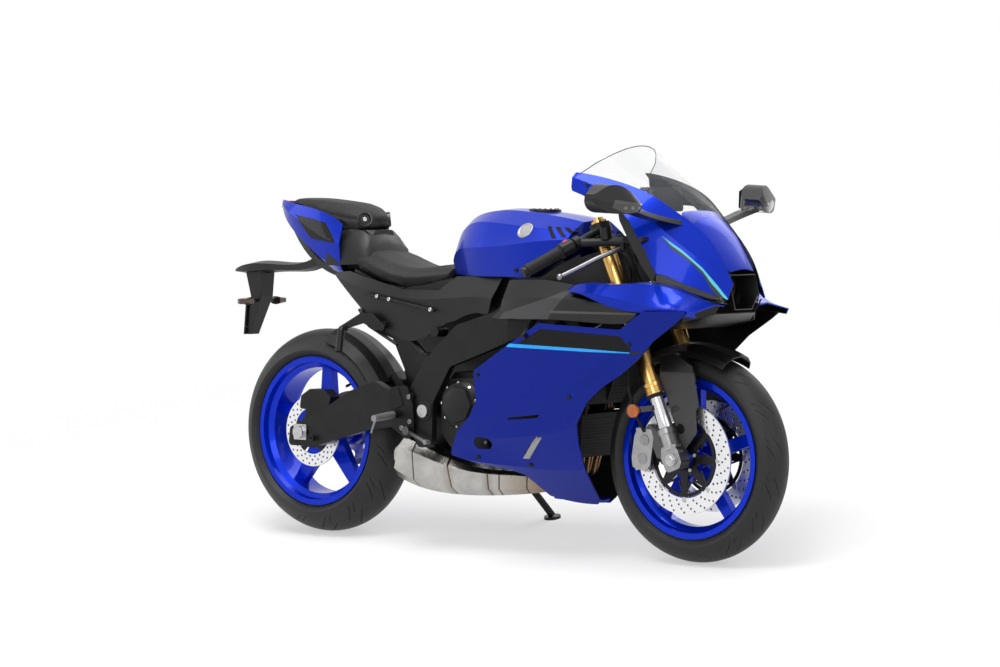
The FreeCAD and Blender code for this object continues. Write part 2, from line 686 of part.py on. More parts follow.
# Front mudguard, with a grey guard plate down each leg
guard_line = [(329, 0), (324, 36), (306, 60), (288, 67)]
guard_inner = [(r - 3, y - (3 if y else 0)) for r, y in guard_line]
full_line = [(r, -y) for r, y in guard_line[:0:-1]] + guard_line
full_inner = [(r, -y) for r, y in guard_inner[:0:-1]] + guard_inner
mudguard = ring_part(full_line + full_inner[::-1], FRONT_AXLE, 63, 116)
guard_plate = side_plate([(640, 537), (764, 517), (775, 451), (764, 442), (768, 376), (718, 316), (702, 326), (676, 445),
                          (640, 530)], 86, 90, 6)
guard_plate = guard_plate.cut([rod(Vector(697, 80, 438), Vector(697, 96, 438), 15),
                               rod(Vector(712, 80, 386), Vector(712, 96, 386), 15)])
guard_web = side_plate([(640, 537), (764, 517), (752, 566), (690, 600), (640, 590)], 57, 90, 5)
guard_web = guard_web.cut(ring_part([(0, 0), (0, 90), (222, 90), (222, 80), (285, 64), (303, 57), (321, 33), (326, 0)],
                                    FRONT_AXLE, 40, 140))
guard_lug = in_fork(side_plate([(0, 104), (56, 104), (56, 130), (0, 130)], 86, 90))
side = fused([guard_plate, guard_web, guard_lug])
sides = [side, mirrored(side)]
mudguard = fused([mudguard] + sides)
legs_cut = in_fork(Part.makeCompound([rod(Vector(0, y, 60), Vector(0, y, 320), FORK_TUBE_R + 3.3)
                                      for y in (-fork_y, fork_y)]))
mudguard = mudguard.cut(legs_cut).cut(shape_of("fork_sliders"))
keep("front_mudguard", mudguard, "steering")

# Brake hoses: from the lever's cylinder to a splitter on the lower yoke, and on behind each leg
HOSE_R = size("brake_hose_radius", 4.2)
splitter = in_fork(Part.makeBox(14, 30, 22, Vector(3, -15, LOWER_CLAMP_AT - 10)))
hose_up = pipe([(542, -140, 908), (566, -118, 850), (568, -60, 770), (556, -8, 734)], HOSE_R, 60)
leg_hoses = []
for side in (1, -1):
    leg_hoses.append(pipe([(552, side * 8, 724), (562, side * 60, 690), (546, side * 122, 610), (556, side * 128, 500),
                           (566, side * 112, 430), (586, side * 92, 372)], HOSE_R, 50))
holders = ("handlebars", "front_calipers", "fork_tubes", "fork_yokes", "fork_sliders", "front_mudguard")
hoses = fused([splitter, hose_up] + leg_hoses).cut([shape_of(name) for name in holders])
reflectors = []
for side in (1, -1):
    disc = rod(Vector(580, side * 133, 434), Vector(580, side * 141, 434), 19)
    stay = side_plate([(574, 426), (576, 444), (640, 452), (640, 436)], 124, 133, 3)
    stay = stay if side > 0 else mirrored(stay)
    reflectors.append(fused([disc, stay]).cut([shape_of(name) for name in ("fork_tubes", "fork_sliders", "front_mudguard")]))
keep("brake_hoses", hoses, "steering")
keep("reflectors", Part.makeCompound(reflectors), "steering")

# Main frame: the side-view band of the beams cut to their plan
FRAME_OUT = size("frame_half_width", 175)
FRAME_PLATE = size("frame_plate_thickness", 22)
HEAD_R = size("head_tube_radius", 31)
beam_side = [(505, 765), (472, 880), (402, 902), (300, 838), (100, 706), (-45, 664), (-165, 560), (-228, 470),
             (-228, 350), (-196, 296), (-142, 296), (-138, 430), (-70, 540), (90, 596), (300, 676), (430, 742)]
out, inn = float(FRAME_OUT), float(FRAME_OUT - FRAME_PLATE)
beam_plan = [(505, 20), (470, 42), (432, 66), (300, 138), (150, out), (-240, out), (-240, inn), (60, inn),
             (150, inn - 16), (280, 104), (390, 48), (430, 20)]
head_low, head_high = LOWER_CLAMP_AT + 16 + FIT_GAP, UPPER_CLAMP_AT - 12 - FIT_GAP
head_tube = in_fork(rod(Vector(-OFFSET, 0, head_low), Vector(-OFFSET, 0, head_high), HEAD_R))
head_bore = in_fork(rod(Vector(-OFFSET, 0, head_low - 5), Vector(-OFFSET, 0, head_high + 5), STEM_R + 0.3))
def turned(x, y, degrees):
    """A point of the fork's plan, turned about the steering axis."""
    turn, arm = math.radians(degrees), x + float(OFFSET)
    return (-float(OFFSET) + arm * math.cos(turn) - y * math.sin(turn), arm * math.sin(turn) + y * math.cos(turn))


LEG_SPACE = size("leg_clearance", 9)
leg_spots = [turned(0, side * float(FORK_Y), a) for side in (1, -1) for a in (-25, -12.5, 0, 12.5, 25)]
leg_room = in_fork(fused([rod(Vector(x, y, head_low - 60), Vector(x, y, FORK_TOP + 20), FORK_TUBE_R + LEG_SPACE)
                          for x, y in leg_spots]))
beam = side_plate(beam_side, 0, out + 5, 18).common(top_plate(beam_plan, 280, 910, 12)).cut(leg_room)
pivot_left = rod(Vector(PIVOT_X, float(ARM_LEFT_Y) + 1, PIVOT_Z), Vector(PIVOT_X, out + 4, PIVOT_Z), 30)
pivot_right = rod(Vector(PIVOT_X, -float(ARM_RIGHT_Y) - 1, PIVOT_Z), Vector(PIVOT_X, -out - 4, PIVOT_Z), 30)
rear_tie = rod(Vector(-190, -inn - 3, 560), Vector(-190, inn + 3, 560), 18)
yoke_space = in_fork(rod(Vector(-OFFSET, 0, LOWER_CLAMP_AT - 60), Vector(-OFFSET, 0, head_low), 90)).fuse(
    in_fork(rod(Vector(-OFFSET, 0, head_high), Vector(-OFFSET, 0, FORK_TOP + 30), 90)))
clamp_space = in_fork(rod(Vector(-OFFSET, 0, head_high), Vector(-OFFSET, 0, FORK_TOP + 30), 125))
frame = fused([beam, mirrored(beam), head_tube, pivot_left, pivot_right, rear_tie])
frame = frame.cut(head_bore).cut(yoke_space).cut(clamp_space)
frame = frame.cut(rod(Vector(PIVOT_X, -out - 10, PIVOT_Z), Vector(PIVOT_X, out + 10, PIVOT_Z), 11))
keep("main_frame", frame, "chassis")

# Swingarm, its pivot spindle and the rear axle
arm_outline = [(-764, 272), (-757, 330), (-700, 352), (-633, 381), (-509, 450), (-406, 484), (-366, 466),
               (-300, 436), (-150, 434), (-140, 405), (-150, 378), (-300, 352), (-427, 336), (-571, 297), (-640, 276)]
right_in, right_out = -float(ARM_RIGHT_Y) + float(ARM_T), -float(ARM_RIGHT_Y)
left_in, left_out = float(ARM_LEFT_Y) - float(ARM_T), float(ARM_LEFT_Y)
arm_right = side_plate(arm_outline, right_out, right_in, 14)
arm_left = side_plate(arm_outline, left_in, left_out, 14)
bridge = side_plate([(-384, 372), (-378, 440), (-330, 462), (-262, 452), (-230, 432), (-230, 380), (-300, 362)],
                    right_in - 2, 86, 10)
bridge_left = side_plate([(-378, 388), (-378, 424), (-250, 424), (-250, 388)], 84, left_in + 2, 6)
pivot_tube = rod(Vector(PIVOT_X, right_in - 2, PIVOT_Z), Vector(PIVOT_X, left_in + 2, PIVOT_Z), 26)
web = side_plate([(-262, 384), (-262, 426), (-170, 426), (-170, 384)], -60, 60, 5)
swingarm = fused([arm_right, arm_left, bridge, bridge_left, pivot_tube, web])
swingarm = swingarm.cut(rod(Vector(PIVOT_X, -200, PIVOT_Z), Vector(PIVOT_X, 200, PIVOT_Z), 11))
slot_points = [(REAR_X - 30, REAR_TYRE_R - 12.55), (REAR_X - 30, REAR_TYRE_R + 12.55),
               (REAR_X + 30, REAR_TYRE_R + 12.55), (REAR_X + 30, REAR_TYRE_R - 12.55)]
swingarm = swingarm.cut(side_plate(slot_points, -200, 200, 12.5))
bobbins = []
for y, s in ((right_out, -1), (left_out, 1)):
    boss = rod(Vector(-655, y, 300), Vector(-655, y + s * 16, 300), 10)
    bobbins.append(boss.cut(rod(Vector(-655, y - s, 300), Vector(-655, y + s * 17, 300), 4)))
keep("swingarm", Part.makeCompound([swingarm] + bobbins), "chassis")
spindle = fused([rod(Vector(PIVOT_X, -out - 4, PIVOT_Z), Vector(PIVOT_X, out + 4, PIVOT_Z), 10.9),
                 rod(Vector(PIVOT_X, -out - 12, PIVOT_Z), Vector(PIVOT_X, -out - 4, PIVOT_Z), 19),
                 rod(Vector(PIVOT_X, out + 4, PIVOT_Z), Vector(PIVOT_X, out + 12, PIVOT_Z), 19)])
keep("pivot_spindle", spindle, "chassis")


def on_rear(y):
    return Vector(REAR_X, y, REAR_TYRE_R)


rear_axle = fused([rod(on_rear(right_out - 16), on_rear(left_out + 16), REAR_AXLE_R),
                   rod(on_rear(right_out - 18), on_rear(right_out - 6), 20),
                   rod(on_rear(left_out + 6), on_rear(left_out + 18), 20),
                   rod(on_rear(right_in), on_rear(-REAR_HUB_HALF - 13.5), 19),
                   rod(on_rear(110.5), on_rear(left_in), 19)])
blocks = [side_plate([(REAR_X - 26, REAR_TYRE_R - 24), (REAR_X - 26, REAR_TYRE_R + 24),
                      (REAR_X + 26, REAR_TYRE_R + 24), (REAR_X + 26, REAR_TYRE_R - 24)], a, b, 4)
          for a, b in ((right_out - 6, right_out), (left_out, left_out + 6))]
keep("rear_axle", fused([rear_axle] + blocks), "chassis")

# Chain: two rows of side plates and the rollers' band round both sprockets


def chain_path(grow):
    """The loop round both sprockets, grow beyond their pitch circles, as a wire at y = 0."""
    a, b = Vector(GEARBOX_X, 0, GEARBOX_Z), REAR_AXLE
    ra, rb = float(FRONT_PITCH_R) + grow, float(REAR_PITCH_R) + grow
    line = b - a
    tilt = math.atan2(line.z, line.x)
    lean_in = math.acos((ra - rb) / line.Length)
    up, down = tilt - lean_in, tilt + lean_in

    def at(centre, radius, angle):
        return centre + Vector(math.cos(angle) * radius, 0, math.sin(angle) * radius)
    top_a, top_b = at(a, ra, up), at(b, rb, up)
    low_a, low_b = at(a, ra, down), at(b, rb, down)
    return Part.Wire([Part.makeLine(top_a, top_b), Part.Arc(top_b, at(b, rb, tilt), low_b).toShape(),
                      Part.makeLine(low_b, low_a), Part.Arc(low_a, at(a, ra, tilt + math.pi), top_a).toShape()])


def chain_band(grow_in, grow_out, y_from, y_to):
    face = Part.Face(chain_path(grow_out)).cut(Part.Face(chain_path(grow_in)))
    face.translate(Vector(0, y_from, 0))
    return face.extrude(Vector(0, y_to - y_from, 0))


c_y, c_half = float(CHAIN_Y), float(CHAIN_W) / 2
chain = fused([chain_band(-CHAIN_H / 2, CHAIN_H / 2, c_y - c_half, c_y - c_half + 4),
               chain_band(-CHAIN_H / 2, CHAIN_H / 2, c_y + c_half - 4, c_y + c_half),
               chain_band(-1, 5, c_y - c_half + 3, c_y + c_half - 3)])
keep("drive_chain", chain, "chassis")
make_sprocket("drive_sprocket", "chassis", Vector(GEARBOX_X, 0, GEARBOX_Z), FRONT_PITCH_R, FRONT_TEETH,
              None, size("drive_sprocket_bore", 12), 0)

# Engine: crankcase with the cylinders leaning forward
ENGINE_HALF = size("engine_half_width", 128)
CASE_LEFT = size("case_left_face", 88)
e = float(ENGINE_HALF)
case = side_plate([(-128, 330), (-132, 470), (-90, 524), (60, 520), (250, 470), (262, 360), (222, 296), (60, 276),
                   (-70, 292)], -e, float(CASE_LEFT), 22)
case_front = side_plate([(0, 290), (0, 500), (60, 520), (250, 470), (262, 360), (222, 296), (60, 276)], 80, e, 18)
cylinders = side_plate([(60, 500), (96, 640), (140, 672), (300, 640), (322, 600), (262, 430)], -118, 118, 14)
gear_shaft = rod(Vector(GEARBOX_X, 70, GEARBOX_Z), Vector(GEARBOX_X, 118, GEARBOX_Z), 11.9)
sump = side_plate([(-20, 300), (140, 300), (120, 246), (10, 246)], 30, 84, 10)
posts = [rod(Vector(x, 80, z), Vector(x, 122, z), 7) for x, z in ((-106, 486), (-26, 474))]
engine = fused([case, case_front, cylinders, gear_shaft, sump] + posts)
pivot_space = rod(Vector(PIVOT_X, -200, PIVOT_Z), Vector(PIVOT_X, 200, PIVOT_Z), 32)
engine = engine.cut([pivot_space, shape_of("main_frame")])
keep("engine_block", engine, "chassis")
CLUTCH_R = size("clutch_cover_radius", 74)
CLUTCH_Y = size("clutch_cover_face", 168)
clutch_at = Vector(-46, 0, 428)


def cover(centre, radius, y_from, y_to):
    side = 1 if y_to > y_from else -1
    a, b, c = (Vector(centre.x, y, centre.z) for y in (y_from, y_to - side * 14, y_to))
    inner = rod(c, Vector(centre.x, y_to + side * 4, centre.z), radius * 0.62, radius * 0.55)
    return fused([rod(a, b, radius), rod(b, c, radius, radius - 12), inner])


clutch = cover(clutch_at, CLUTCH_R, -e, -CLUTCH_Y)
case_pad = side_plate([(-128, 345), (-120, 500), (20, 510), (70, 430), (55, 300), (-60, 275)], -e - 24, -e, 20)
generator = cover(Vector(120, 0, 372), 70, e, 166)
sprocket_cover = side_plate([(-128, 360), (-124, 470), (-70, 492), (-8, 470), (-2, 380), (-60, 345)], 122, 150, 16)
keep("engine_covers", Part.makeCompound([fused([clutch, case_pad]), generator, sprocket_cover]), "chassis")

# Cooling: a curved radiator and the oil cooler under it
radiator = side_plate([(352, 446), (372, 640), (402, 636), (384, 440)], -165, 165, 6)
tanks = [side_plate([(344, 440), (366, 648), (408, 640), (388, 432)], a, b, 6) for a, b in ((-182, -165), (165, 182))]
oil_cooler = side_plate([(346, 290), (352, 420), (382, 416), (374, 288)], -118, 118, 5)
hangers = [side_plate([(372, 630), (398, 640), (334, 706), (304, 694)], a, b) for a, b in ((-120, -112), (112, 120))]
links = [side_plate([(352, 408), (382, 408), (392, 452), (360, 452)], a, b) for a, b in ((-106, -98), (98, 106))]
cooling = fused([radiator, oil_cooler] + tanks + hangers + links)
keep("radiators", cooling.cut(shape_of("main_frame")), "chassis")

# Exhaust: four pipes into a box under the engine, then a short can beside the rear wheel
PIPE_R = size("header_radius", 15.5)
pipes = []
for i, y in enumerate((-84, -29, 29, 84)):
    low_y = -51 + 34 * i
    pipes.append(pipe([(300, y, 560), (336, y, 546), (322, y, 400), (290, low_y, 222), (200, low_y, 203)], PIPE_R, 45))
can = across([(-322, [(-150, 232), (-146, 296), (-120, 322), (-58, 320), (-30, 296), (-26, 226), (-56, 198), (-124, 202)]),
              (-236, [(-150, 196), (-148, 276), (-124, 302), (-58, 302), (-24, 278), (-18, 202), (-56, 168), (-122, 172)]),
              (-112, [(-132, 178), (-132, 240), (-112, 258), (-50, 258), (-14, 240), (-8, 180), (-46, 154), (-108, 156)]),
              (60, [(-104, 180), (-104, 222), (-88, 234), (-20, 236), (20, 222), (26, 182), (-10, 160), (-84, 160)]),
              (224, [(-58, 190), (-58, 208), (-48, 216), (36, 216), (48, 208), (50, 192), (40, 180), (-50, 180)])])
can = can.cut(side_plate([(-318, 190), (-340, 190), (-340, 340), (-290, 340)], -200, 50))
tail_pipe = rod(Vector(-292, -92, 262), Vector(-334, -98, 264), 33)
pipe_bore = rod(Vector(-316, -92, 262), Vector(-350, -101, 264), 28)
can = fused([can, tail_pipe])
keep("silencer", can.cut(pipe_bore), "chassis")
keep("exhaust_headers", Part.makeCompound([p.cut([shape_of("silencer"), shape_of("engine_block")]) for p in pipes]), "chassis")

# Rear shock between the frame tie and the swingarm bridge
shock_low, shock_high = Vector(-300, 0, 456), Vector(-206, 0, 588)
way = (shock_high - shock_low).normalize()
shock = fused([rod(shock_low, shock_high, 9), rod(shock_low + way * 14, shock_low + way * 120, 27),
               rod(shock_high - way * 34, shock_high - way * 14, 31)])
shock = shock.cut([shape_of("swingarm"), shape_of("main_frame")])
keep("rear_shock", shock, "chassis")

# Fuel tank
def tank_section(top, y1, z1, y2, z2, y3, z3):
    half = [(0, top), (y1 * 0.55, top - 5), (y1, z1), (y2, z2), (y3, z3)]
    return half + [(-y, z) for y, z in half[:0:-1]]


tank = across([(-152, tank_section(900, 44, 884, 62, 850, 52, 815)),
               (-118, tank_section(962, 60, 936, 86, 880, 76, 810)),
               (-40, tank_section(998, 92, 966, 124, 892, 108, 808)),
               (60, tank_section(1008, 116, 966, 148, 896, 132, 808)),
               (160, tank_section(1002, 128, 958, 164, 904, 150, 808)),
               (260, tank_section(990, 130, 950, 166, 914, 150, 812)),
               (345, tank_section(974, 118, 938, 146, 918, 104, 850))])
TANK_CAP_R = size("fuel_cap_radius", 48)
tank = tank.cut(side_plate([(196, 780), (206, 808), (345, 896), (400, 904), (400, 780)], -200, 200))
tank = tank.cut(shape_of("main_frame"))
keep("fuel_tank", tank, "chassis")
fuel_cap = rod(Vector(150, 0, 990), Vector(151, 0, 1004), TANK_CAP_R).cut(shape_of("fuel_tank"))
keep("fuel_cap", fuel_cap, "chassis")
airbox = side_plate([(-60, 700), (-70, 806), (-60, 830), (230, 836), (300, 862), (322, 780), (240, 690), (100, 672)],
                    -100, 100, 8)
keep("airbox", airbox.cut([shape_of("fuel_tank"), shape_of("engine_block"), shape_of("main_frame")]), "chassis")

# Seats and tail


def half_section(points):
    """Mirrors the (y, z) points of one side, centre line first and last, to a closed section."""
    return points + [(-y, z) for y, z in points[::-1] if y]


seat = across([(-158, half_section([(0, 842), (52, 838), (72, 818), (66, 800), (0, 800)])),
               (-220, half_section([(0, 834), (74, 830), (100, 808), (92, 776), (0, 776)])),
               (-300, half_section([(0, 832), (92, 826), (124, 804), (116, 768), (0, 768)])),
               (-400, half_section([(0, 856), (98, 850), (132, 826), (122, 786), (0, 786)])),
               (-500, half_section([(0, 886), (88, 880), (118, 856), (108, 822), (0, 822)]))])
keep("rider_seat", seat, "chassis")
pillion = across([(-486, half_section([(0, 984), (22, 980), (38, 964), (42, 946), (0, 946)])),
                  (-516, half_section([(0, 1006), (42, 1002), (64, 980), (70, 942), (0, 942)])),
                  (-560, half_section([(0, 1019), (56, 1014), (82, 988), (88, 938), (0, 938)])),
                  (-640, half_section([(0, 1030), (62, 1024), (90, 998), (94, 944), (0, 944)])),
                  (-720, half_section([(0, 1036), (56, 1031), (80, 1014), (86, 984), (0, 976)])),
                  (-826, half_section([(0, 1038), (44, 1035), (56, 1028), (58, 1012), (0, 1012)]))])
keep("pillion_seat", pillion, "chassis")

# Subframe rails from the frame to the tail
rail = pipe([(-150, 120, 640), (-320, 110, 738), (-560, 66, 796), (-800, 30, 926)], 12, 120)
brace = rod(Vector(-205, 122, 560), Vector(-500, 78, 780), 10)
foot = rod(Vector(-150, 106, 640), Vector(-150, inn, 640), 15)
foot_low = rod(Vector(-205, 108, 560), Vector(-205, inn, 560), 15)
rails = fused([rail, brace, foot, foot_low])
cross_tubes = [rod(Vector(x, -w, z), Vector(x, w, z), 10) for x, w, z in ((-340, 106, 744), (-560, 66, 797), (-780, 34, 915))]
pads = [Part.makeBox(40, 36, 70, Vector(x, y, z)) for x, z in ((-360, 742), (-470, 766)) for y in (-92, 56)]
pads += [Part.makeBox(30, 60, 160, Vector(-640, -30, 790)), Part.makeBox(30, 76, 30, Vector(-640, -38, 824))]
tray = across([(-656, [(-52, 826), (52, 826), (52, 832), (-52, 832)]), (-600, [(-56, 800), (56, 800), (56, 806), (-56, 806)])])
subframe = fused([rails, mirrored(rails)] + cross_tubes + pads[:4] + [pads[4], tray])
subframe = subframe.cut([shape_of("main_frame"), shape_of("rider_seat"), shape_of("pillion_seat")])
keep("subframe", subframe, "chassis")


tail_outer = [(-560, [(106, 958), (122, 900), (116, 830), (96, 808)]),
              (-640, [(106, 996), (114, 920), (106, 850), (80, 828)]),
              (-730, [(94, 1014), (100, 960), (92, 900), (62, 880)]),
              (-820, [(66, 1028), (76, 1000), (68, 958), (40, 944)]),
              (-866, [(42, 1034), (48, 1020), (44, 1000), (26, 990)])]
tail_right = skin(tail_outer[::-1], PANEL)
tail_front = skin([(-560, tail_outer[0][1]), (-500, [(112, 905), (124, 872), (112, 826), (96, 812)])], PANEL)
keep("tail_cowl", both_sides(tail_right), "chassis")
under = across([(-540, half_section([(0, 812), (90, 808), (84, 790), (0, 790)])),
                (-660, half_section([(0, 838), (72, 834), (66, 812), (0, 812)])),
                (-800, half_section([(0, 930), (42, 928), (36, 896), (0, 896)])),
                (-856, half_section([(0, 984), (24, 982), (20, 960), (0, 960)]))])
cowl_stay = rod(Vector(-700, -120, 880), Vector(-700, 120, 880), 7).cut(shape_of("tail_cowl"))
cowl_stay = min(cowl_stay.Solids, key=lambda solid: abs(solid.CenterOfMass.y))
saddle = across([(-484, half_section([(0, 942), (38, 940), (58, 912), (62, 888), (0, 888)])),
                 (-520, half_section([(0, 942), (66, 940), (84, 905), (88, 872), (0, 872)])),
                 (-566, half_section([(0, 940), (84, 938), (92, 905), (94, 872), (0, 872)]))])
under = fused([under, cowl_stay]).cut([shape_of("subframe"), shape_of("tail_cowl")])
saddle = saddle.cut([shape_of(name) for name in ("subframe", "tail_cowl", "rider_seat", "pillion_seat")])
keep("undertail", Part.makeCompound([under, saddle]), "chassis")
lamp = across([(-862, half_section([(0, 1030), (38, 1028), (40, 1002), (22, 990), (0, 990)])),
               (-884, half_section([(0, 1032), (28, 1030), (30, 1010), (16, 1000), (0, 1000)]))])
keep("tail_light", lamp, "chassis")

# Plate hanger with its two indicators
arm = across([(-1076, half_section([(0, 818), (40, 814), (44, 806), (0, 802)])),
              (-1040, half_section([(0, 832), (46, 826), (48, 806), (0, 796)])),
              (-900, half_section([(0, 838), (38, 830), (40, 812), (0, 806)])),
              (-760, half_section([(0, 852), (30, 848), (32, 822), (0, 814)])),
              (-712, half_section([(0, 884), (28, 880), (30, 850), (0, 842)]))])
arm = arm.cut([shape_of("undertail"), shape_of("subframe")])
drop = loft([[(x, y, z) for x, y in ((a, -w), (a, w), (b, w), (b, -w))]
             for a, b, w, z in ((-1042, -975, 32, 812), (-1024, -978, 26, 727), (-1048, -1034, 20, 606))], True)
holder = side_plate([(-1044, 708), (-1038, 708), (-1048, 606), (-1054, 606)], -29, 29)
stalks = rod(Vector(-1000, -60, 715), Vector(-1000, 60, 715), 6)
hanger = fused([arm, drop, holder, stalks])
hanger = hanger.cut([rod(Vector(-1100, y, 630), Vector(-1000, y, 630), 3) for y in (-24, 24)])
keep("plate_hanger", hanger, "chassis")
indicator = across([(-1022, [(60, 706), (60, 720), (90, 718), (90, 708)]),
                    (-996, [(60, 700), (60, 726), (98, 722), (98, 704)]),
                    (-978, [(60, 704), (60, 722), (88, 719), (88, 708)])])
keep("rear_indicators", both_sides(indicator), "chassis")

# Hugger over the front of the rear tyre, carried by the swingarm
hug = [(330, 0), (326, 40), (312, 66), (284, 88)]
hug_in = [(r - 3, y - (3 if y else 0)) for r, y in hug]
hugger = ring_part([(r, -y) for r, y in hug[:0:-1]] + hug + hug_in[::-1] + [(r, -y) for r, y in hug_in[1:]],
                   REAR_AXLE, 30, 78)
hug_stay = side_plate([(-372, 420), (-350, 444), (-416, 508), (-434, 494)], -30, 30)
hugger = fused([hugger, hug_stay])
keep("rear_hugger", hugger.cut(shape_of("swingarm")), "chassis")

# Rear caliper rides above the right arm
rear_grip = side_plate([(-742, 386), (-736, 426), (-700, 448), (-640, 448), (-612, 424), (-622, 394), (-680, 382)],
                       -104, -60, 8)
rear_stay = side_plate([(-722, 340), (-716, 400), (-640, 400), (-640, 366)], -104, -97, 6)
rear_grip = fused([rear_grip, rear_stay])
rear_slot = Part.makeCylinder(float(REAR_DISC_R) + 6, 16, REAR_AXLE + Vector(0, -86.5, 0), Y)
keep("rear_caliper", rear_grip.cut([rear_slot, shape_of("swingarm")]), "chassis")


# Footrests: a hanger plate, the peg and its pedal on each side

def rearset(side):
    plate = side_plate([(-284, 474), (-226, 478), (-204, 420), (-200, 340), (-228, 318), (-286, 350), (-300, 420)],
                       out + 6, out + 14, 12)
    spacers = [rod(Vector(x, out, z), Vector(x, out + 8, z), 12) for x, z in ((-214, 372), (-218, 446))]
    peg = rod(Vector(-268, out + 14, 392), Vector(-268, 292, 384), 12, 10)
    pedal = pipe([(-220, out + 22, 345), (-150, out + 26, 318), (-120, out + 36, 316), (-118, out + 60, 316)], 6, 14)
    pedal_boss = rod(Vector(-220, out + 13, 345), Vector(-220, out + 30, 345), 13)
    guard = side_plate([(-292, 400), (-240, 420), (-262, 476), (-300, 462)], out + 14, out + 17, 8)
    shape = fused([plate, peg, pedal, pedal_boss, guard] + spacers)
    return shape if side > 0 else mirrored(shape)


keep("footrests", Part.makeCompound([rearset(1), rearset(-1)]), "chassis")


def pillion_peg():
    bracket = side_plate([(-330, 640), (-392, 690), (-440, 690), (-520, 650), (-520, 636), (-430, 660), (-380, 640)],
                         150, 158, 8)
    mount = rod(Vector(-356, 90, 664), Vector(-356, 151, 656), 10)
    peg = pipe([(-508, 150, 644), (-508, 170, 640), (-500, 190, 572)], 11, 12)
    return fused([bracket, mount, peg]).cut(shape_of("subframe"))


keep("pillion_pegs", both_sides(pillion_peg()), "chassis")

# Black covers under the seat
cover_side = skin([(-610, [(92, 830), (98, 800), (96, 760)]),
                   (-470, [(128, 830), (132, 770), (126, 690)]),
                   (-300, [(134, 792), (142, 740), (136, 610)]),
                   (-130, [(112, 800), (146, 740), (140, 650)]),
                   (100, [(126, 806), (156, 740), (160, 660)])], PANEL)
cover_side = cover_side.common(side_plate([(-470, 708), (-426, 652), (-314, 606), (-284, 578), (-110, 668), (60, 700),
                                           (90, 806), (-98, 806), (-150, 764), (-286, 764), (-400, 790),
                                           (-515, 816), (-600, 810)], 50, 250, 4))
cover_side = cover_side.cut([shape_of("main_frame"), shape_of("subframe"), shape_of("pillion_pegs"),
                             shape_of("rider_seat"), shape_of("fuel_tank"), shape_of("airbox")])
keep("side_covers", both_sides(cover_side), "chassis")

# Side fairings
side_lines = [(-80, [(222, 720), (228, 396), (218, 340), (200, 292), (170, 252)]),
              (100, [(228, 720), (234, 400), (222, 335), (188, 262), (124, 214)]),
              (250, [(232, 720), (235, 428), (218, 350), (150, 252), (58, 160)]),
              (400, [(234, 720), (234, 482), (206, 380), (130, 258), (26, 150)]),
              (620, [(238, 740), (233, 628), (215, 500), (160, 360), (60, 240)]),
              (740, [(240, 770), (236, 700), (222, 560), (180, 430), (110, 330)]),
              (860, [(240, 800), (236, 740), (224, 620), (190, 500), (140, 420)])]
side_outline = [(66, 534), (78, 446), (52, 400), (-2, 354), (-34, 300), (-40, 282), (78, 256), (150, 244), (186, 232),
                (232, 154), (250, 144), (368, 144), (384, 164), (403, 268), (413, 336), (430, 393), (475, 457), (529, 501), (600, 540),
                (671, 591), (723, 640), (800, 690), (838, 718), (826, 726), (720, 722), (690, 722), (657, 702),
                (606, 668), (313, 680), (200, 616)]
side_panel = skin(side_lines, PANEL).common(side_plate(side_outline, 10, 300, 4))
vent = side_plate([(225, 300), (292, 357), (292, 340), (238, 291)], 150, 300, 3)
oval = side_plate([(66, 306), (56, 325), (72, 343), (116, 338), (126, 322), (112, 306)], 150, 300, 8)
louvre = side_plate([(196, 397), (202, 404), (313, 417), (300, 406)], 150, 300, 0)
side_panel = side_panel.cut([vent, oval, louvre])
keep("side_fairing_left", side_panel, "chassis")
keep("side_fairing_right", mirrored(side_panel), "chassis")
keel = across([(236, half_section([(0, 164), (66, 170), (62, 159), (0, 156)])),
               (300, half_section([(0, 159), (46, 165), (44, 155), (0, 152)])),
               (372, half_section([(0, 157), (38, 163), (36, 153), (0, 150)]))])
keel = keel.cut([shape_of("side_fairing_left"), shape_of("side_fairing_right")])
keep("belly_keel", keel, "chassis")

# Shoulder: the wing over the side panel, from the tank to the nose
shoulder = skin([(400, [(170, 780), (196, 783), (206, 776), (206, 768)]),
                 (500, [(172, 798), (206, 795), (228, 768), (226, 752)]),
                 (620, [(182, 800), (212, 797), (234, 750), (230, 722)]),
                 (720, [(176, 800), (204, 794), (237, 734), (230, 716)]),
                 (800, [(136, 768), (168, 768), (237, 728), (226, 712)]),
                 (860, [(84, 738), (126, 742), (234, 722), (222, 706)])], PANEL)
shoulder = shoulder.cut(shape_of("side_fairing_left"))
keep("fairing_shoulders", both_sides(shoulder), "chassis")

# Black inner panels between the tank, the shoulder and the side fairing
inner_panel = skin([(110, [(152, 802), (196, 740), (214, 690)]),
                    (250, [(166, 806), (204, 750), (222, 690)]),
                    (400, [(176, 790), (208, 750), (226, 690)]),
                    (520, [(200, 775), (214, 740), (228, 685)]),
                    (660, [(206, 760), (222, 730), (232, 690)])], PANEL)
inner_panel = inner_panel.common(side_plate([(118, 690), (150, 712), (150, 800), (390, 806), (400, 764), (640, 764),
                                             (672, 738), (652, 704), (604, 674), (312, 686), (200, 690), (136, 686)],
                                            50, 300, 4))
inner_panel = inner_panel.cut([shape_of("fairing_shoulders"), shape_of("main_frame"), shape_of("fuel_tank"),
                               shape_of("side_fairing_left"), shape_of("side_covers")])
keep("inner_panels", both_sides(inner_panel), "chassis")

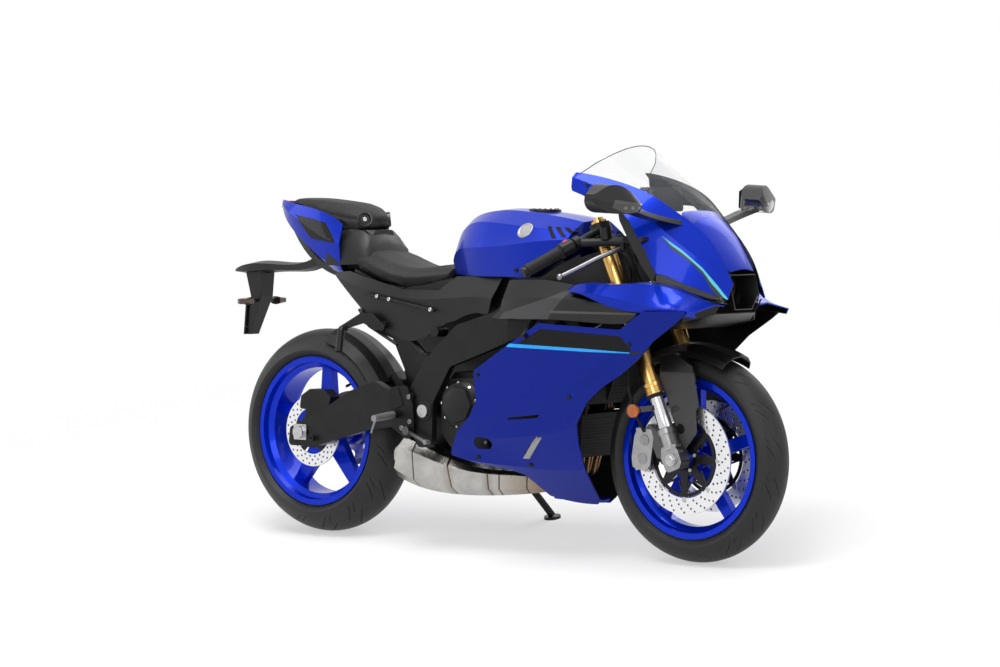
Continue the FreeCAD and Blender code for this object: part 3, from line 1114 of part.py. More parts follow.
# Upper fairing: cheeks from the mirrors' feet down to the lights, on each side of the duct
cheek = skin([(396, [(166, 1112), (184, 1098), (188, 1070)]),
              (520, [(152, 1090), (186, 1060), (202, 1018)]),
              (640, [(128, 1046), (176, 1000), (206, 938)]),
              (700, [(108, 1006), (158, 950), (196, 830)]),
              (760, [(84, 960), (138, 900), (168, 800)]),
              (820, [(74, 900), (112, 850), (130, 775)]),
              (876, [(66, 800), (80, 782), (92, 758)])], PANEL)
cheek_cut = side_plate([(380, 1066), (442, 1046), (560, 996), (640, 936), (669, 892), (700, 828), (720, 822), (880, 752),
                        (886, 820), (760, 1000), (600, 1100), (400, 1130), (376, 1110)], 0, 300)
cheek = cheek.common(cheek_cut)
nose = across([(716, half_section([(0, 990), (86, 978), (82, 972), (0, 984)])),
               (770, half_section([(0, 925), (76, 916), (72, 910), (0, 919)])),
               (826, half_section([(0, 840), (66, 838), (62, 832), (0, 834)]))])
keep("upper_fairing", fused([cheek, mirrored(cheek), nose]).cut(shape_of("fairing_shoulders")), "chassis")
duct = front_plate([(-64, 836), (64, 836), (70, 760), (40, 716), (0, 740), (-40, 716), (-70, 760)], 790, 868, 4)
duct = duct.cut(front_plate([(-54, 824), (54, 824), (58, 764), (34, 734), (0, 756), (-34, 734), (-58, 764)], 800, 880, 3))
duct = duct.cut(shape_of("upper_fairing"))
keep("nose_duct", duct, "chassis")

# Lights in the slit under each cheek
lamp_bar = across([(700, [(132, 798), (190, 802), (194, 832), (132, 826)]),
                   (780, [(104, 770), (150, 776), (154, 800), (104, 796)]),
                   (852, [(56, 740), (92, 744), (98, 766), (56, 764)])])
lamp_bar = lamp_bar.cut([shape_of("fairing_shoulders"), shape_of("upper_fairing"), shape_of("nose_duct")])
keep("headlights", both_sides(lamp_bar), "chassis")

# Screen
screen_lines = [(396, 1262, 167, 1112), (450, 1228, 162, 1100), (520, 1183, 152, 1080), (600, 1122, 136, 1050),
                (680, 1058, 112, 1010), (752, 990, 84, 968)]


def screen_section(top, half, edge):
    """The arch of the screen at one x, 3 mm thick."""
    outer = [(-half, edge), (-0.8 * half, edge + 0.46 * (top - edge)), (-0.42 * half, edge + 0.87 * (top - edge)),
             (0, top), (0.42 * half, edge + 0.87 * (top - edge)), (0.8 * half, edge + 0.46 * (top - edge)), (half, edge)]
    return outer + offset_inside(outer, 3)[::-1]


screen = across([(x, screen_section(top, half, edge)) for x, top, half, edge in screen_lines])
screen = screen.cut(side_plate([(380, 1082), (396, 1098), (430, 1123), (511, 1188), (524, 1200), (524, 1300), (380, 1300)],
                               -200, 200))
screen = screen.cut(shape_of("upper_fairing"))
keep("windscreen", screen, "chassis")

# Dash and its carrier on the head tube
dash = front_plate([(-90, 1000), (90, 1000), (80, 1070), (-80, 1070)], 560, 590, 10)
carrier = fused([side_plate([(478, 786), (560, 806), (700, 905), (700, 925), (600, 944), (592, 1006), (572, 1006),
                             (560, 940), (530, 880), (486, 836)], -14, 14, 4),
                 rod(Vector(664, -215, 922), Vector(664, 215, 922), 8)])
head_space = in_fork(rod(Vector(-OFFSET, 0, head_low - 70), Vector(-OFFSET, 0, head_high + 70), HEAD_R))
carrier = carrier.cut([head_space, shape_of("main_frame"), yoke_space, shape_of("upper_fairing")])
keep("cockpit", fused([dash, carrier]), "chassis")

# Mirrors with their signal lamps
mirror_stalk = sideways([(89, [(700, 958), (740, 958), (732, 974), (698, 976)]),
                         (190, [(680, 974), (716, 976), (708, 990), (676, 990)]),
                         (298, [(668, 998), (712, 1000), (704, 1018), (664, 1018)])])
mirror_pod = sideways([(292, [(664, 1002), (722, 1002), (730, 1018), (712, 1034), (664, 1036)]),
                       (324, [(624, 1000), (722, 996), (732, 1020), (704, 1062), (630, 1062)]),
                       (350, [(618, 998), (712, 994), (720, 1022), (692, 1074), (626, 1076)]),
                       (405, [(624, 1008), (688, 1004), (692, 1030), (674, 1062), (632, 1066)]),
                       (440, [(640, 1030), (664, 1030), (666, 1040), (660, 1050), (644, 1050)])])
mirror = fused([mirror_pod, mirror_stalk])
mirror = mirror.cut(shape_of("upper_fairing"))
keep("mirrors", both_sides(mirror), "chassis")

# Stays between the side panels and what carries them
stays = []
for start, end in (((240, 128, 712), (262, 244, 640)), ((160, 110, 312), (160, 240, 312)),
                   ((176, 96, 770), (190, 240, 752))):
    stay = rod(Vector(*start), Vector(*end), 7)
    stays.append(stay.cut([shape_of("side_fairing_left"), shape_of("main_frame"), shape_of("engine_block"),
                           shape_of("engine_covers"), shape_of("airbox"), shape_of("inner_panels"),
                           shape_of("fuel_tank")]))
inner_ones = []
for stay in stays:
    near = max(stay.Solids, key=lambda solid: solid.Volume)
    inner_ones.append(near)
keep("fairing_stays", Part.makeCompound(inner_ones + [mirrored(one) for one in inner_ones]), "chassis")

# Side stand: a forged leg that swings back and up about its sloping pin
PIVOT = Vector(STAND_X, STAND_Y, STAND_Z)
ground_up = Vector(0, -math.sin(LEAN), math.cos(LEAN))
floor_drop = float(REAR_CROWN) * (1 - math.cos(LEAN))
foot_y = float(STAND_REACH)
foot_z = (foot_y * math.sin(LEAN) - floor_drop) / math.cos(LEAN)
STAND_FOOT = Vector(STAND_X + 76, foot_y, foot_z)
leg_way = (STAND_FOOT - PIVOT).normalize()
STAND_AXIS = leg_way.cross(Vector(-0.98, 0.17, 0.02)).normalize()
STAND_EYE = size("stand_eye_radius", 17)
STAND_PIN = size("stand_pin_radius", 8)
eye = rod(PIVOT - STAND_AXIS * 10, PIVOT + STAND_AXIS * 10, STAND_EYE)
leg = rod(PIVOT + leg_way * 12, STAND_FOOT + ground_up * 10, STAND_R)
foot_pad = rod(STAND_FOOT, STAND_FOOT + ground_up * 8, 26)
tang = rod(PIVOT + leg_way * 120, PIVOT + leg_way * 122 + Vector(16, 40, 0), 5)
stand = fused([eye, leg, foot_pad, tang]).cut(rod(PIVOT - STAND_AXIS * 30, PIVOT + STAND_AXIS * 30, STAND_PIN + 0.2))
keep("side_stand", stand, "side_stand")
lug_a = rod(PIVOT - STAND_AXIS * 20, PIVOT - STAND_AXIS * 12, 18)
lug_b = rod(PIVOT + STAND_AXIS * 12, PIVOT + STAND_AXIS * 20, 18)
pin = rod(PIVOT - STAND_AXIS * 24, PIVOT + STAND_AXIS * 24, STAND_PIN)
lug_arm = side_plate([(-196, 300), (-150, 300), (-128, 284), (-150, 262), (-176, 262)], inn, inn + 9, 4)
arm_a = rod(PIVOT - STAND_AXIS * 15.5, Vector(-176, inn + 4, 292), 8)
arm_b = rod(PIVOT + STAND_AXIS * 15.5, Vector(-150, inn + 14, 298), 8)
stand_mount = fused([lug_a, lug_b, pin, lug_arm, arm_a, arm_b])
swing_room = rod(PIVOT - STAND_AXIS * 11.8, PIVOT + STAND_AXIS * 11.8, STAND_EYE + 19).cut(
    rod(PIVOT - STAND_AXIS * 12, PIVOT + STAND_AXIS * 12, STAND_PIN))
keep("stand_mount", stand_mount.cut([swing_room, shape_of("main_frame")]), "chassis")

# Stance: everything leans onto the stand, tyres on the floor, origin under the middle
LEANED = Placement(Vector(), Rotation(X, -float(LEAN_DEG)))


def stood(thing):
    shape = thing.Shape.copy()
    shape.Placement = LEANED.multiply(shape.Placement)
    return shape


doc.recompute()
reach = FreeCAD.BoundBox()
for thing, body in SUBPARTS.values():
    shape = stood(thing)
    points, facets = shape.tessellate(0.5)
    for p in points:
        reach.add(p)
STANCE = Placement(Vector(-reach.Center.x, -reach.Center.y, -reach.ZMin), Rotation()).multiply(LEANED)
for thing, body in SUBPARTS.values():
    thing.Placement = STANCE.multiply(thing.Placement)
doc.recompute()


def check_and_export():
    for thing in doc.Objects:
        if "Invalid" in thing.State or "Error" in thing.State:
            raise RuntimeError("%s failed: %s" % (thing.Label, thing.State))
    os.makedirs("parts", exist_ok=True)
    for label, (thing, body) in SUBPARTS.items():
        if thing.Shape.isNull() or not thing.Shape.isValid():
            raise RuntimeError("%s has no valid shape" % label)
        thing.Shape.exportStep("parts/%s.step" % label)


check_and_export()
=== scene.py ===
"""A faired sport motorcycle on its side stand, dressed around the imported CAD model."""
import functools
import math
import bmesh
import bpy
from mathutils import Matrix, Vector
from mathutils.bvhtree import BVHTree


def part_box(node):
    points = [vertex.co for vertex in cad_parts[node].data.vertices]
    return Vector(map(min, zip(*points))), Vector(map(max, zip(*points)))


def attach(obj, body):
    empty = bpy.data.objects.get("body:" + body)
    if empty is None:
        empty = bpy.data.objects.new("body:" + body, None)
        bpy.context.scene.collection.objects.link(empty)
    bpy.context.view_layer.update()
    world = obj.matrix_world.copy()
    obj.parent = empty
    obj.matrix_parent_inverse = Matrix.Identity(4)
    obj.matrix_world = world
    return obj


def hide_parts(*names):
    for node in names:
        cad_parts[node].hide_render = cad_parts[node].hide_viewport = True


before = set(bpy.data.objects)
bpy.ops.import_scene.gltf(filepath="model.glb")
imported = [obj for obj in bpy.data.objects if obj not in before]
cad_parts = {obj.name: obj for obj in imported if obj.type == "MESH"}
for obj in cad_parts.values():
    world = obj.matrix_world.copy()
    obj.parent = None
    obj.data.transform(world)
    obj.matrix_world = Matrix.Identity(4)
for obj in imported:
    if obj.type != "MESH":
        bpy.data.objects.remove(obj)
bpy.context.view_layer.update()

# Camera. The photograph looks at the machine from its front right with a long lens, and the view is
# held by the machine itself: "stance" takes a point of the upright machine to where it leans here.
LEAN = math.radians(10.5)
stance = Matrix.Rotation(-LEAN, 4, "X")
tyre_low, tyre_high = (Vector(corner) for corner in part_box("front_tyre"))
stance.translation = (tyre_low + tyre_high) / 2 - stance @ Vector((0.710, 0, 0.300))
home = stance.inverted()


def place(x, y, z):
    """A point of the upright machine, in millimetres, as it stands in the scene."""
    return stance @ (Vector((x, y, z)) / 1000)


azimuth, elevation, distance = math.radians(39.439), math.radians(2.369), 9.842996
VIEW_COS, VIEW_SIN = 0.7722, 0.6354
level = Vector((math.sin(azimuth), -math.cos(azimuth), 0))
back = level * math.cos(elevation) + Vector((0, 0, math.sin(elevation)))
right = Vector((math.cos(azimuth), math.sin(azimuth), 0))
up = back.cross(right)
eye = Vector((-0.022278, 0, 0.634057)) + back * distance
camera = bpy.data.objects.new("camera", bpy.data.cameras.new("camera"))
camera.data.lens, camera.data.sensor_width = 118.6, 36
camera.data.clip_end = 400
camera.matrix_world = stance @ (Matrix.Translation(eye) @ Matrix((right, up, back)).transposed().to_4x4())
bpy.context.scene.collection.objects.link(camera)
bpy.context.scene.camera = camera


# Studio. A pale floor keeps the shadow, and large soft lamps over a plain surround light the machine.
# The classes here write every material below: a Field is a value over the surface, a Finish a material.
class Field:
    """A number, colour or vector that varies over a surface; arithmetic on it adds Math nodes."""

    def __init__(self, finish, socket):
        self.finish, self.socket = finish, socket

    def maths(self, operation, *others):
        return self.finish.node("Math", [self, *others], operation=operation)

    def __rsub__(self, other):
        return self.finish.node("Math", [other, self], operation="SUBTRACT")

    def step(self, edge, soft=0.4):
        """0 below the edge and 1 above it, over a soft width."""
        limits = {"Value": self, "From Min": edge - soft, "From Max": edge + soft}
        return self.finish.node("MapRange", limits)

    def repeat(self, pitch):
        """Distance from the middle of each cell, in cells of one pitch."""
        return ((self / pitch).maths("FRACT") - 0.5) * pitch

    def outputs(self):
        return [Field(self.finish, socket) for socket in self.socket.node.outputs]


for method, operation in (("add", "ADD"), ("radd", "ADD"), ("sub", "SUBTRACT"), ("mul", "MULTIPLY"),
                          ("rmul", "MULTIPLY"), ("truediv", "DIVIDE"), ("pow", "POWER"), ("abs", "ABSOLUTE")):
    setattr(Field, f"__{method}__", functools.partialmethod(Field.maths, operation))


class Finish:
    """A material: one shader, whose named sockets take plain values or fields."""

    def __init__(self, name, tree=None, kind="BsdfPrincipled", **sockets):
        if tree is None:
            self.material = bpy.data.materials.new(name)
            self.material.use_nodes = True
            tree = self.material.node_tree
        self.tree = tree
        tree.nodes.clear()
        self.out = tree.nodes.new("ShaderNodeOutput" + ("World" if kind == "Background" else "Material"))
        self.shader = tree.nodes.new("ShaderNode" + kind)
        tree.links.new(self.shader.outputs[0], self.out.inputs[0])
        self.set(**sockets)

    def node(self, kind, values, out=0, stops=None, **settings):
        made = self.tree.nodes.new("ShaderNode" + kind)
        for name, value in settings.items():
            setattr(made, name, value)
        if stops:
            steps = made.color_ramp.elements
            (steps[0].position, steps[0].color), (steps[1].position, steps[1].color) = stops[0], stops[-1]
            for where, colour in stops[1:-1]:
                steps.new(where).color = colour
        for key, value in (values.items() if isinstance(values, dict) else enumerate(values)):
            self.link(made.inputs[key], value)
        return Field(self, made.outputs[out])

    def link(self, socket, value):
        if isinstance(value, Field):
            self.tree.links.new(value.socket, socket)
        else:
            socket.default_value = value

    def set(self, **sockets):
        for name, value in sockets.items():
            if isinstance(value, tuple) and len(value) == 3:
                value = (*value, 1)
            self.link(self.shader.inputs[name.replace("_", " ")], value)
        return self

    def upright(self):
        """The surface point on the upright machine, in millimetres, as x, y and z fields."""
        at = self.node("TexCoord", {}, out="Object")
        turned = self.node("Mapping", {"Vector": at, "Location": home.translation * 1000,
                                       "Rotation": home.to_euler(), "Scale": (1000, 1000, 1000)},
                           vector_type="POINT")
        return self.node("SeparateXYZ", [turned]).outputs()

    def outward(self):
        """1 where the surface faces away from the machine, and 0 on the inner side of its panels."""
        normal = self.node("TexCoord", {}, out="Normal")
        across, above = (self.node("VectorMath", [normal, stance.to_3x3() @ Vector(way)], out="Value",
                                   operation="DOT_PRODUCT") for way in ((0, 1, 0), (0, 0, 1)))
        return (across * self.upright()[1].maths("SIGN") + above * 0.3).step(-0.1, 0.05)

    def sight(self):
        """How far right a point lies in the camera's view, in millimetres, the same on both sides."""
        x, y, _ = self.upright()
        return x * VIEW_COS - abs(y) * VIEW_SIN

    def seen(self):
        """1 for rays from the camera, mirrored or let through on their way or not, and 0 for the rest."""
        rays = self.node("LightPath", {}).outputs()
        return (rays[0] + rays[3] + rays[6]).maths("MINIMUM", 1.0)

    def noise(self, size, detail=3, where=None):
        """Cloudy values from 0 to 1, in blots of a size in millimetres."""
        where = where or self.node("TexCoord", {}, out="Object")
        return self.node("TexNoise", {"Vector": where, "Scale": 1000 / size, "Detail": detail}, out="Fac")

    def mix(self, factor, low, high):
        """One colour or the other, as the factor says."""
        low, high = (colour if isinstance(colour, Field) else (*colour, 1) for colour in (low, high))
        return self.node("Mix", {0: factor, 6: low, 7: high}, out=2, data_type="RGBA")

    def tone(self, factor, low, high, **sockets):
        """Colours the surface between two tones, and sets other sockets with it."""
        return self.set(Base_Color=self.mix(factor, low, high), **sockets)

    def within(self, across, along, corners, soft=0.8):
        """1 inside a convex outline, whose corners run anticlockwise, and 0 outside."""
        inside = 1.0
        for (x0, z0), (x1, z1) in zip(corners, corners[1:] + corners[:1]):
            length = math.hypot(x1 - x0, z1 - z0)
            depth = (across - x0) * ((z0 - z1) / length) + (along - z0) * ((x1 - x0) / length)
            inside = depth.step(0, soft) * inside
        return inside

    def follow(self, along, points):
        """A height that follows a broken line of (place, height) points."""
        first, last = points[0][0], points[-1][0]
        low, high = min(height for _, height in points), max(height for _, height in points)
        stops = [((where - first) / (last - first), (*((height - low) / (high - low),) * 3, 1))
                 for where, height in points]
        ramp = self.node("ValToRGB", {"Fac": (along - first) / (last - first)}, stops=stops)
        return ramp * (high - low) + low

    def relief(self, height, depth, rounding=0.0):
        """Lays a relief over the surface, in millimetres, with its sharp edges rounded a little."""
        values = {"Height": height, "Distance": depth / 1000}
        if rounding:
            values["Normal"] = self.node("Bevel", {"Radius": rounding / 1000}, samples=6)
        return self.set(Normal=self.node("Bump", values))


world = bpy.data.worlds.new("studio")
world.use_nodes = True
bpy.context.scene.world = world
bpy.context.scene.view_settings.view_transform = "Standard"
sky = Finish("studio", world.node_tree, "Background", Color=(1, 1, 1))
height = sky.node("SeparateXYZ", [sky.node("TexCoord", {}, out="Generated")]).outputs()[2]
gradient = sky.node("MapRange", {"Value": height, "From Min": 0.1, "From Max": 0.95,
                                 "To Min": 0.03, "To Max": 0.75})
seen = sky.seen()
sky.set(Strength=gradient * (1 - seen) + seen)

for name, spot, size, watts in (("top", (0.1, -0.7, 4.3), 2.6, 165), ("side", (2.1, -3.7, 2.8), 1.8, 34),
                                ("front", (5.2, -0.6, 1.9), 1.8, 22), ("rear", (-4.6, -2.0, 2.4), 2.0, 24),
                                ("far", (0.0, 3.8, 3.2), 3.0, 60)):
    lamp = bpy.data.lights.new(name, "AREA")
    lamp.energy, lamp.size = watts, size
    holder = bpy.data.objects.new(name, lamp)
    holder.location = spot
    holder.rotation_euler = (Vector(spot) - Vector((0, 0, 0.5))).to_track_quat("Z", "Y").to_euler()
    bpy.context.scene.collection.objects.link(holder)

shape = bmesh.new()
bmesh.ops.create_grid(shape, x_segments=1, y_segments=1, size=120)
floor_mesh = bpy.data.meshes.new("floor")
shape.to_mesh(floor_mesh)
shape.free()
floor = bpy.data.objects.new("floor", floor_mesh)
floor.location.z = -0.0005
bpy.context.scene.collection.objects.link(floor)
paper = Finish("floor_paper", Base_Color=(0.86, 0.86, 0.86), Roughness=0.9, Specular_IOR_Level=0.0)
spot_x, spot_y, _ = paper.node("SeparateXYZ", [paper.node("TexCoord", {}, out="Object")]).outputs()
away = (spot_x * spot_x + spot_y * spot_y) ** 0.5
own_light = paper.node("MapRange", {"Value": away, "From Min": 0.9, "From Max": 3.4,
                                    "To Min": 0.5, "To Max": 1.0})
glow = paper.node("Emission", {"Color": (1, 1, 1, 1)})
blend = paper.node("MixShader", [paper.seen() * own_light, Field(paper, paper.shader.outputs[0]), glow])
paper.link(paper.out.inputs[0], blend)
floor_mesh.materials.append(paper.material)


# Wheels. Five-spoke cast alloy rims, painted blue, each with a bent valve stem pressed into the barrel.
# The spokes, barrel and hub are one casting, machined at the seats of the bearings and the discs.
FRONT_AXLE, REAR_AXLE = Vector((710, 0, 300)), Vector((-710, 0, 316))
DEEP_BLUE, LIT_BLUE = (0.0003, 0.009, 0.22), (0.0005, 0.032, 0.56)
LINING = (0.008, 0.008, 0.009)
LACQUER, FLAKE = 0.4, 0.55


def paint(finish, *nodes):
    """Gives CAD nodes their finish."""
    for node in nodes:
        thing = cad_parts[node]
        thing.data.materials.clear()
        thing.data.materials.append(finish.material)


def blue_paint(name, lined=True, deep=DEEP_BLUE, lit=LIT_BLUE):
    """Metallic blue with its flakes under clear lacquer; a lined panel is black on its inner side."""
    finish = Finish(name, Roughness=0.3, Coat_Roughness=0.04, Coat_IOR=1.35, Specular_IOR_Level=0.08)
    finish.outer = finish.outward() if lined else 1.0
    flakes = finish.mix(finish.noise(0.9, 2).step(0.5, 0.3), deep, lit)
    finish.colour = finish.mix(finish.outer, LINING, flakes)
    finish.set(Base_Color=finish.colour, Metallic=finish.outer * FLAKE, Coat_Weight=finish.outer * LACQUER)
    return finish.relief(finish.noise(9, 1), 0.03, 1.6)


def piece(name, shape, finish, body="chassis", stands_for=None):
    """Finishes a shape drawn on the upright machine in millimetres, and lets it ride on a body."""
    bmesh.ops.transform(shape, matrix=stance @ Matrix.Scale(0.001, 4), verts=shape.verts)
    bmesh.ops.recalc_face_normals(shape, faces=shape.faces)
    mesh = bpy.data.meshes.new(name)
    shape.to_mesh(mesh)
    shape.free()
    mesh.materials.append(finish.material)
    mesh.polygons.foreach_set("use_smooth", [True] * len(mesh.polygons))
    mesh.set_sharp_from_angle(angle=math.radians(32))
    thing = bpy.data.objects.new(name, mesh)
    bpy.context.scene.collection.objects.link(thing)
    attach(thing, body)
    if stands_for:
        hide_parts(stands_for)
    return thing


def bar(shape, start, end, radius, end_radius=None, sides=24):
    """A round bar between two points."""
    start, end = Vector(start), Vector(end)
    turn = (end - start).to_track_quat("Z", "Y").to_matrix().to_4x4()
    bmesh.ops.create_cone(shape, cap_ends=True, segments=sides, radius1=radius,
                          radius2=radius if end_radius is None else end_radius, depth=(end - start).length,
                          matrix=Matrix.Translation((start + end) / 2) @ turn)


def lathe(shape, centre, axis, outline, sides=48, closed=False):
    """Spins an outline of (radius, along) points about an axis."""
    turn = Matrix.Translation(centre) @ Vector(axis).to_track_quat("Z", "Y").to_matrix().to_4x4()
    dots = [shape.verts.new(turn @ Vector((radius, 0, along))) for radius, along in outline]
    lines = [shape.edges.new(pair) for pair in zip(dots, dots[1:] + (dots[:1] if closed else []))]
    bmesh.ops.spin(shape, geom=dots + lines, cent=centre, axis=Vector(axis), angle=2 * math.pi,
                   steps=sides, use_merge=True)
    bmesh.ops.remove_doubles(shape, verts=shape.verts, dist=0.02)


def round_axle(axle, radius, turn, offset=0.0):
    """A point round an axle, at a radius and an angle, and at an offset to the left."""
    return axle + Vector((math.cos(turn) * radius, offset, math.sin(turn) * radius))


def plain_finish(name, depth, size, detail=3, **sockets):
    """A material of one colour and one gloss, with a fine grain."""
    finish = Finish(name, **sockets)
    return finish.relief(finish.noise(size, detail), depth)


rim_blue = blue_paint("rim_blue", lined=False, deep=(0.0004, 0.012, 0.34), lit=(0.0006, 0.04, 0.75))
paint(rim_blue, "front_rim", "rear_rim")
valve_black = plain_finish("valve_black", 0.1, 1.5, Base_Color=(0.01, 0.01, 0.01), Roughness=0.5)
VALVE_TURN, BARREL_R = 0.95, 198
for end, axle in (("front", FRONT_AXLE), ("rear", REAR_AXLE)):
    shape = bmesh.new()
    foot = round_axle(axle, BARREL_R, VALVE_TURN)
    bends = [foot + Vector(bend) for bend in ((0, 0, 0), (-6, -8, -8), (-12, -28, -18), (-14, -36, -21))]
    bar(shape, *bends[:2], 5.5, 4)
    bar(shape, *bends[1:3], 4)
    bar(shape, *bends[2:], 4.6, 4.2, 12)
    piece(end + "_valve", shape, valve_black, body=end + "_wheel")


# Tyres. Radial sport tyres of moulded black rubber, nearly slick, with slanted grooves that fan out from
# the crown to the shoulders on both sides, and fine rings round the plain sidewalls.
FRONT_R, REAR_R, GROOVE_WIDTH, GROOVE_DEPTH = 300, 316, 4.1, 2.6
GROOVE_SPANS = {0: (0.12, 0.66), 5: (0.5, 0.9), 7: (0.72, 0.9)}
tyre_rubber = Finish("tyre_rubber", Specular_IOR_Level=0.35)
x, _, z = tyre_rubber.upright()
at_front = x.step(0)
from_axle = ((abs(x) - FRONT_AXLE.x) ** 2 + (z - (REAR_R - at_front * (REAR_R - FRONT_R))) ** 2) ** 0.5
sidewall = 1 - from_axle.step(252, 3)
rings = (1 - abs(from_axle.repeat(4.5)).step(0.9, 0.4)) * sidewall
worn = tyre_rubber.noise(40, 4)
tyre_rubber.tone(worn, (0.009, 0.009, 0.009), (0.018, 0.018, 0.018), Roughness=worn * 0.2 + 0.4)
tyre_rubber.relief(rings * 4 + tyre_rubber.noise(1.2, 2), 0.09)


def tyre(end, axle, radius, half, crown, bead):
    """Spins the tyre's section, sinks its grooves, then sweeps them back towards the shoulders."""
    reach, steps = math.asin(half / crown), 160
    turns = [reach * i / 14 for i in range(15)]
    tread = [(radius - crown * (1 - math.cos(turn)), crown * math.sin(turn)) for turn in turns]
    edge = tread[-1][0]
    wall = [(edge + (234 - edge) * share, half + (bead - half) * share ** 1.7)
            for share in (0.3, 0.6, 0.85, 1)]
    wall += [(226, bead - 1.5), (221, bead - 5)]
    side = tread + wall
    outline = [(reach_out, -offset) for reach_out, offset in side[:0:-1]] + side
    shape = bmesh.new()
    lathe(shape, axle, (0, 1, 0), outline, steps, True)
    bmesh.ops.recalc_face_normals(shape, faces=shape.faces)
    grooves = []
    for face in shape.faces:
        spot = face.calc_center_median() - axle
        column = round(math.atan2(spot.z, spot.x) / (2 * math.pi) * steps - 0.5) + (5 if spot.y > 0 else 0)
        inner, outer = GROOVE_SPANS.get(column % 10, (1, 0))
        if math.hypot(spot.x, spot.z) > edge and inner < abs(spot.y) / half < outer:
            grooves.append(face)
    bmesh.ops.inset_region(shape, faces=grooves, thickness=GROOVE_WIDTH, depth=0, use_even_offset=True)
    bmesh.ops.inset_region(shape, faces=grooves, thickness=0.5, depth=-GROOVE_DEPTH, use_even_offset=True)
    for vert in shape.verts:
        swept = Matrix.Rotation(-0.42 * (abs(vert.co.y) / half) ** 1.1, 3, "Y")
        vert.co = axle + swept @ (vert.co - axle)
    piece(end + "_tread", shape, tyre_rubber, end + "_wheel", end + "_tyre")


tyre("front", FRONT_AXLE, FRONT_R, 60, 62, 44.2)
tyre("rear", REAR_AXLE, REAR_R, 90, 95, 69.7)


# Brake discs. Stainless braking bands, cross-drilled and ground bright, float on silver bobbins that
# hold them to dark anodised carriers, which are screwed to the hubs. The drilled holes are not cut: they
# are painted near black as painted shade, and sunk a little by a bump.
HOLE_R, FRONT_DISC_R, REAR_DISC_R, DISC_MIDDLE, DISC_FACE = 3.1, 160, 110, 65.5, 68
SIDES = ((-1, "right"), (1, "left"))


def disc_finish(name, axle, radius, band, rows):
    """Ground steel on the band and dark metal inside it, with rows of (radius, count, phase) holes in painted
    shade.
    """
    finish = Finish(name, Metallic=1.0)
    x, _, z = finish.upright()
    along, above = x - axle.x, z - axle.z
    reach = (along * along + above * above) ** 0.5
    turn = above.maths("ARCTAN2", along) / (2 * math.pi)
    shaded_holes = 0.0
    for ring, count, phase in rows:
        arc = ((turn * count + phase).maths("FRACT") - 0.5) * (2 * math.pi * ring / count)
        rise = reach - ring
        shaded_holes = (1 - ((arc * arc + rise * rise) ** 0.5).step(HOLE_R, 0.5)) + shaded_holes
    on_band = reach.step(radius - band - 0.5)
    swirl = finish.noise(1, 2, finish.node("CombineXYZ", [reach / 900, turn / 30, 0.0]))
    bright = finish.mix(swirl, (0.72, 0.72, 0.74), (0.92, 0.92, 0.94))
    colour = finish.mix(on_band, (0.03, 0.03, 0.032), bright)
    # The holes are painted near black, as painted shade, where no hole is cut.
    finish.tone(shaded_holes, colour, (0.004, 0.004, 0.004), Roughness=swirl * 0.16 + 0.26, Metallic=1 - shaded_holes)
    return finish.relief(shaded_holes * -3 + swirl * 0.3, 0.25, 0.8)


drilled = [(153, 26, 0.0), (143, 26, 0.3), (132, 26, 0.6), (121, 26, 0.9)]
front_steel = disc_finish("front_disc_steel", FRONT_AXLE, FRONT_DISC_R, 49, drilled)
paint(front_steel, "front_disc_left", "front_disc_right")


def worn_finish(name, tones, rough, clouds, grain, depth, rounding=0.0, **sockets):
    """A finish whose tone and gloss vary in clouds over a fine grain; rough is a least and a range."""
    finish = Finish(name, **sockets)
    worn = finish.noise(*clouds)
    finish.tone(worn, *tones, Roughness=worn * rough[1] + rough[0])
    return finish.relief(finish.noise(*grain), depth, rounding)


carrier_black = worn_finish("carrier_black", ((0.012, 0.012, 0.013), (0.03, 0.03, 0.031)), (0.4, 0.0),
                            (12, 3), (1.2, 3), 0.05, 0.8, Metallic=0.8)
for side, name in SIDES:
    band, ring = bmesh.new(), bmesh.new()
    lathe(band, FRONT_AXLE, (0, side, 0), [(112, 63.2), (112, 67.8), (126, 67.8), (126, 63.2)], 96, True)
    lathe(ring, FRONT_AXLE, (0, side, 0), [(98, 63.4), (98, 67.6), (108, 67.6), (108, 63.4)], 96, True)
    for i in range(8):
        turn = math.pi / 4 * i
        for lean in (-0.3, 0.3):
            foot = round_axle(FRONT_AXLE, 66, turn + lean, side * DISC_MIDDLE)
            bar(ring, foot, round_axle(FRONT_AXLE, 118, turn, side * DISC_MIDDLE), 3, 2.6, 8)
    piece("disc_band_" + name, band, front_steel, "front_wheel")
    piece("disc_carrier_" + name, ring, carrier_black, "front_wheel")
rear_rows = [(102, 24, 0), (90, 24, 0.5), (79, 24, 0.0)]
paint(disc_finish("rear_disc_steel", REAR_AXLE, REAR_DISC_R, 38, rear_rows), "rear_disc")


bright_steel = worn_finish("bright_steel", ((0.42, 0.42, 0.43), (0.62, 0.62, 0.63)), (0.2, 0.18),
                           (14, 4), (0.8, 2), 0.02, 0.6, Metallic=1.0)


def bolt(shape, at, way, radius, height=4.0):
    """A screw with a round head and a hexagon socket."""
    at, way = Vector(at), Vector(way).normalized()
    before = set(shape.faces)
    bar(shape, at - way * 2, at + way * height, radius, sides=18)
    made = [face for face in shape.faces if face not in before]
    top = max(made, key=lambda face: face.calc_center_median().dot(way))
    bmesh.ops.inset_individual(shape, faces=[top], thickness=radius * 0.14, depth=radius * 0.1)
    bmesh.ops.inset_individual(shape, faces=[top], thickness=radius * 0.34, depth=0)
    bmesh.ops.inset_individual(shape, faces=[top], thickness=0.05, depth=-height * 0.6)


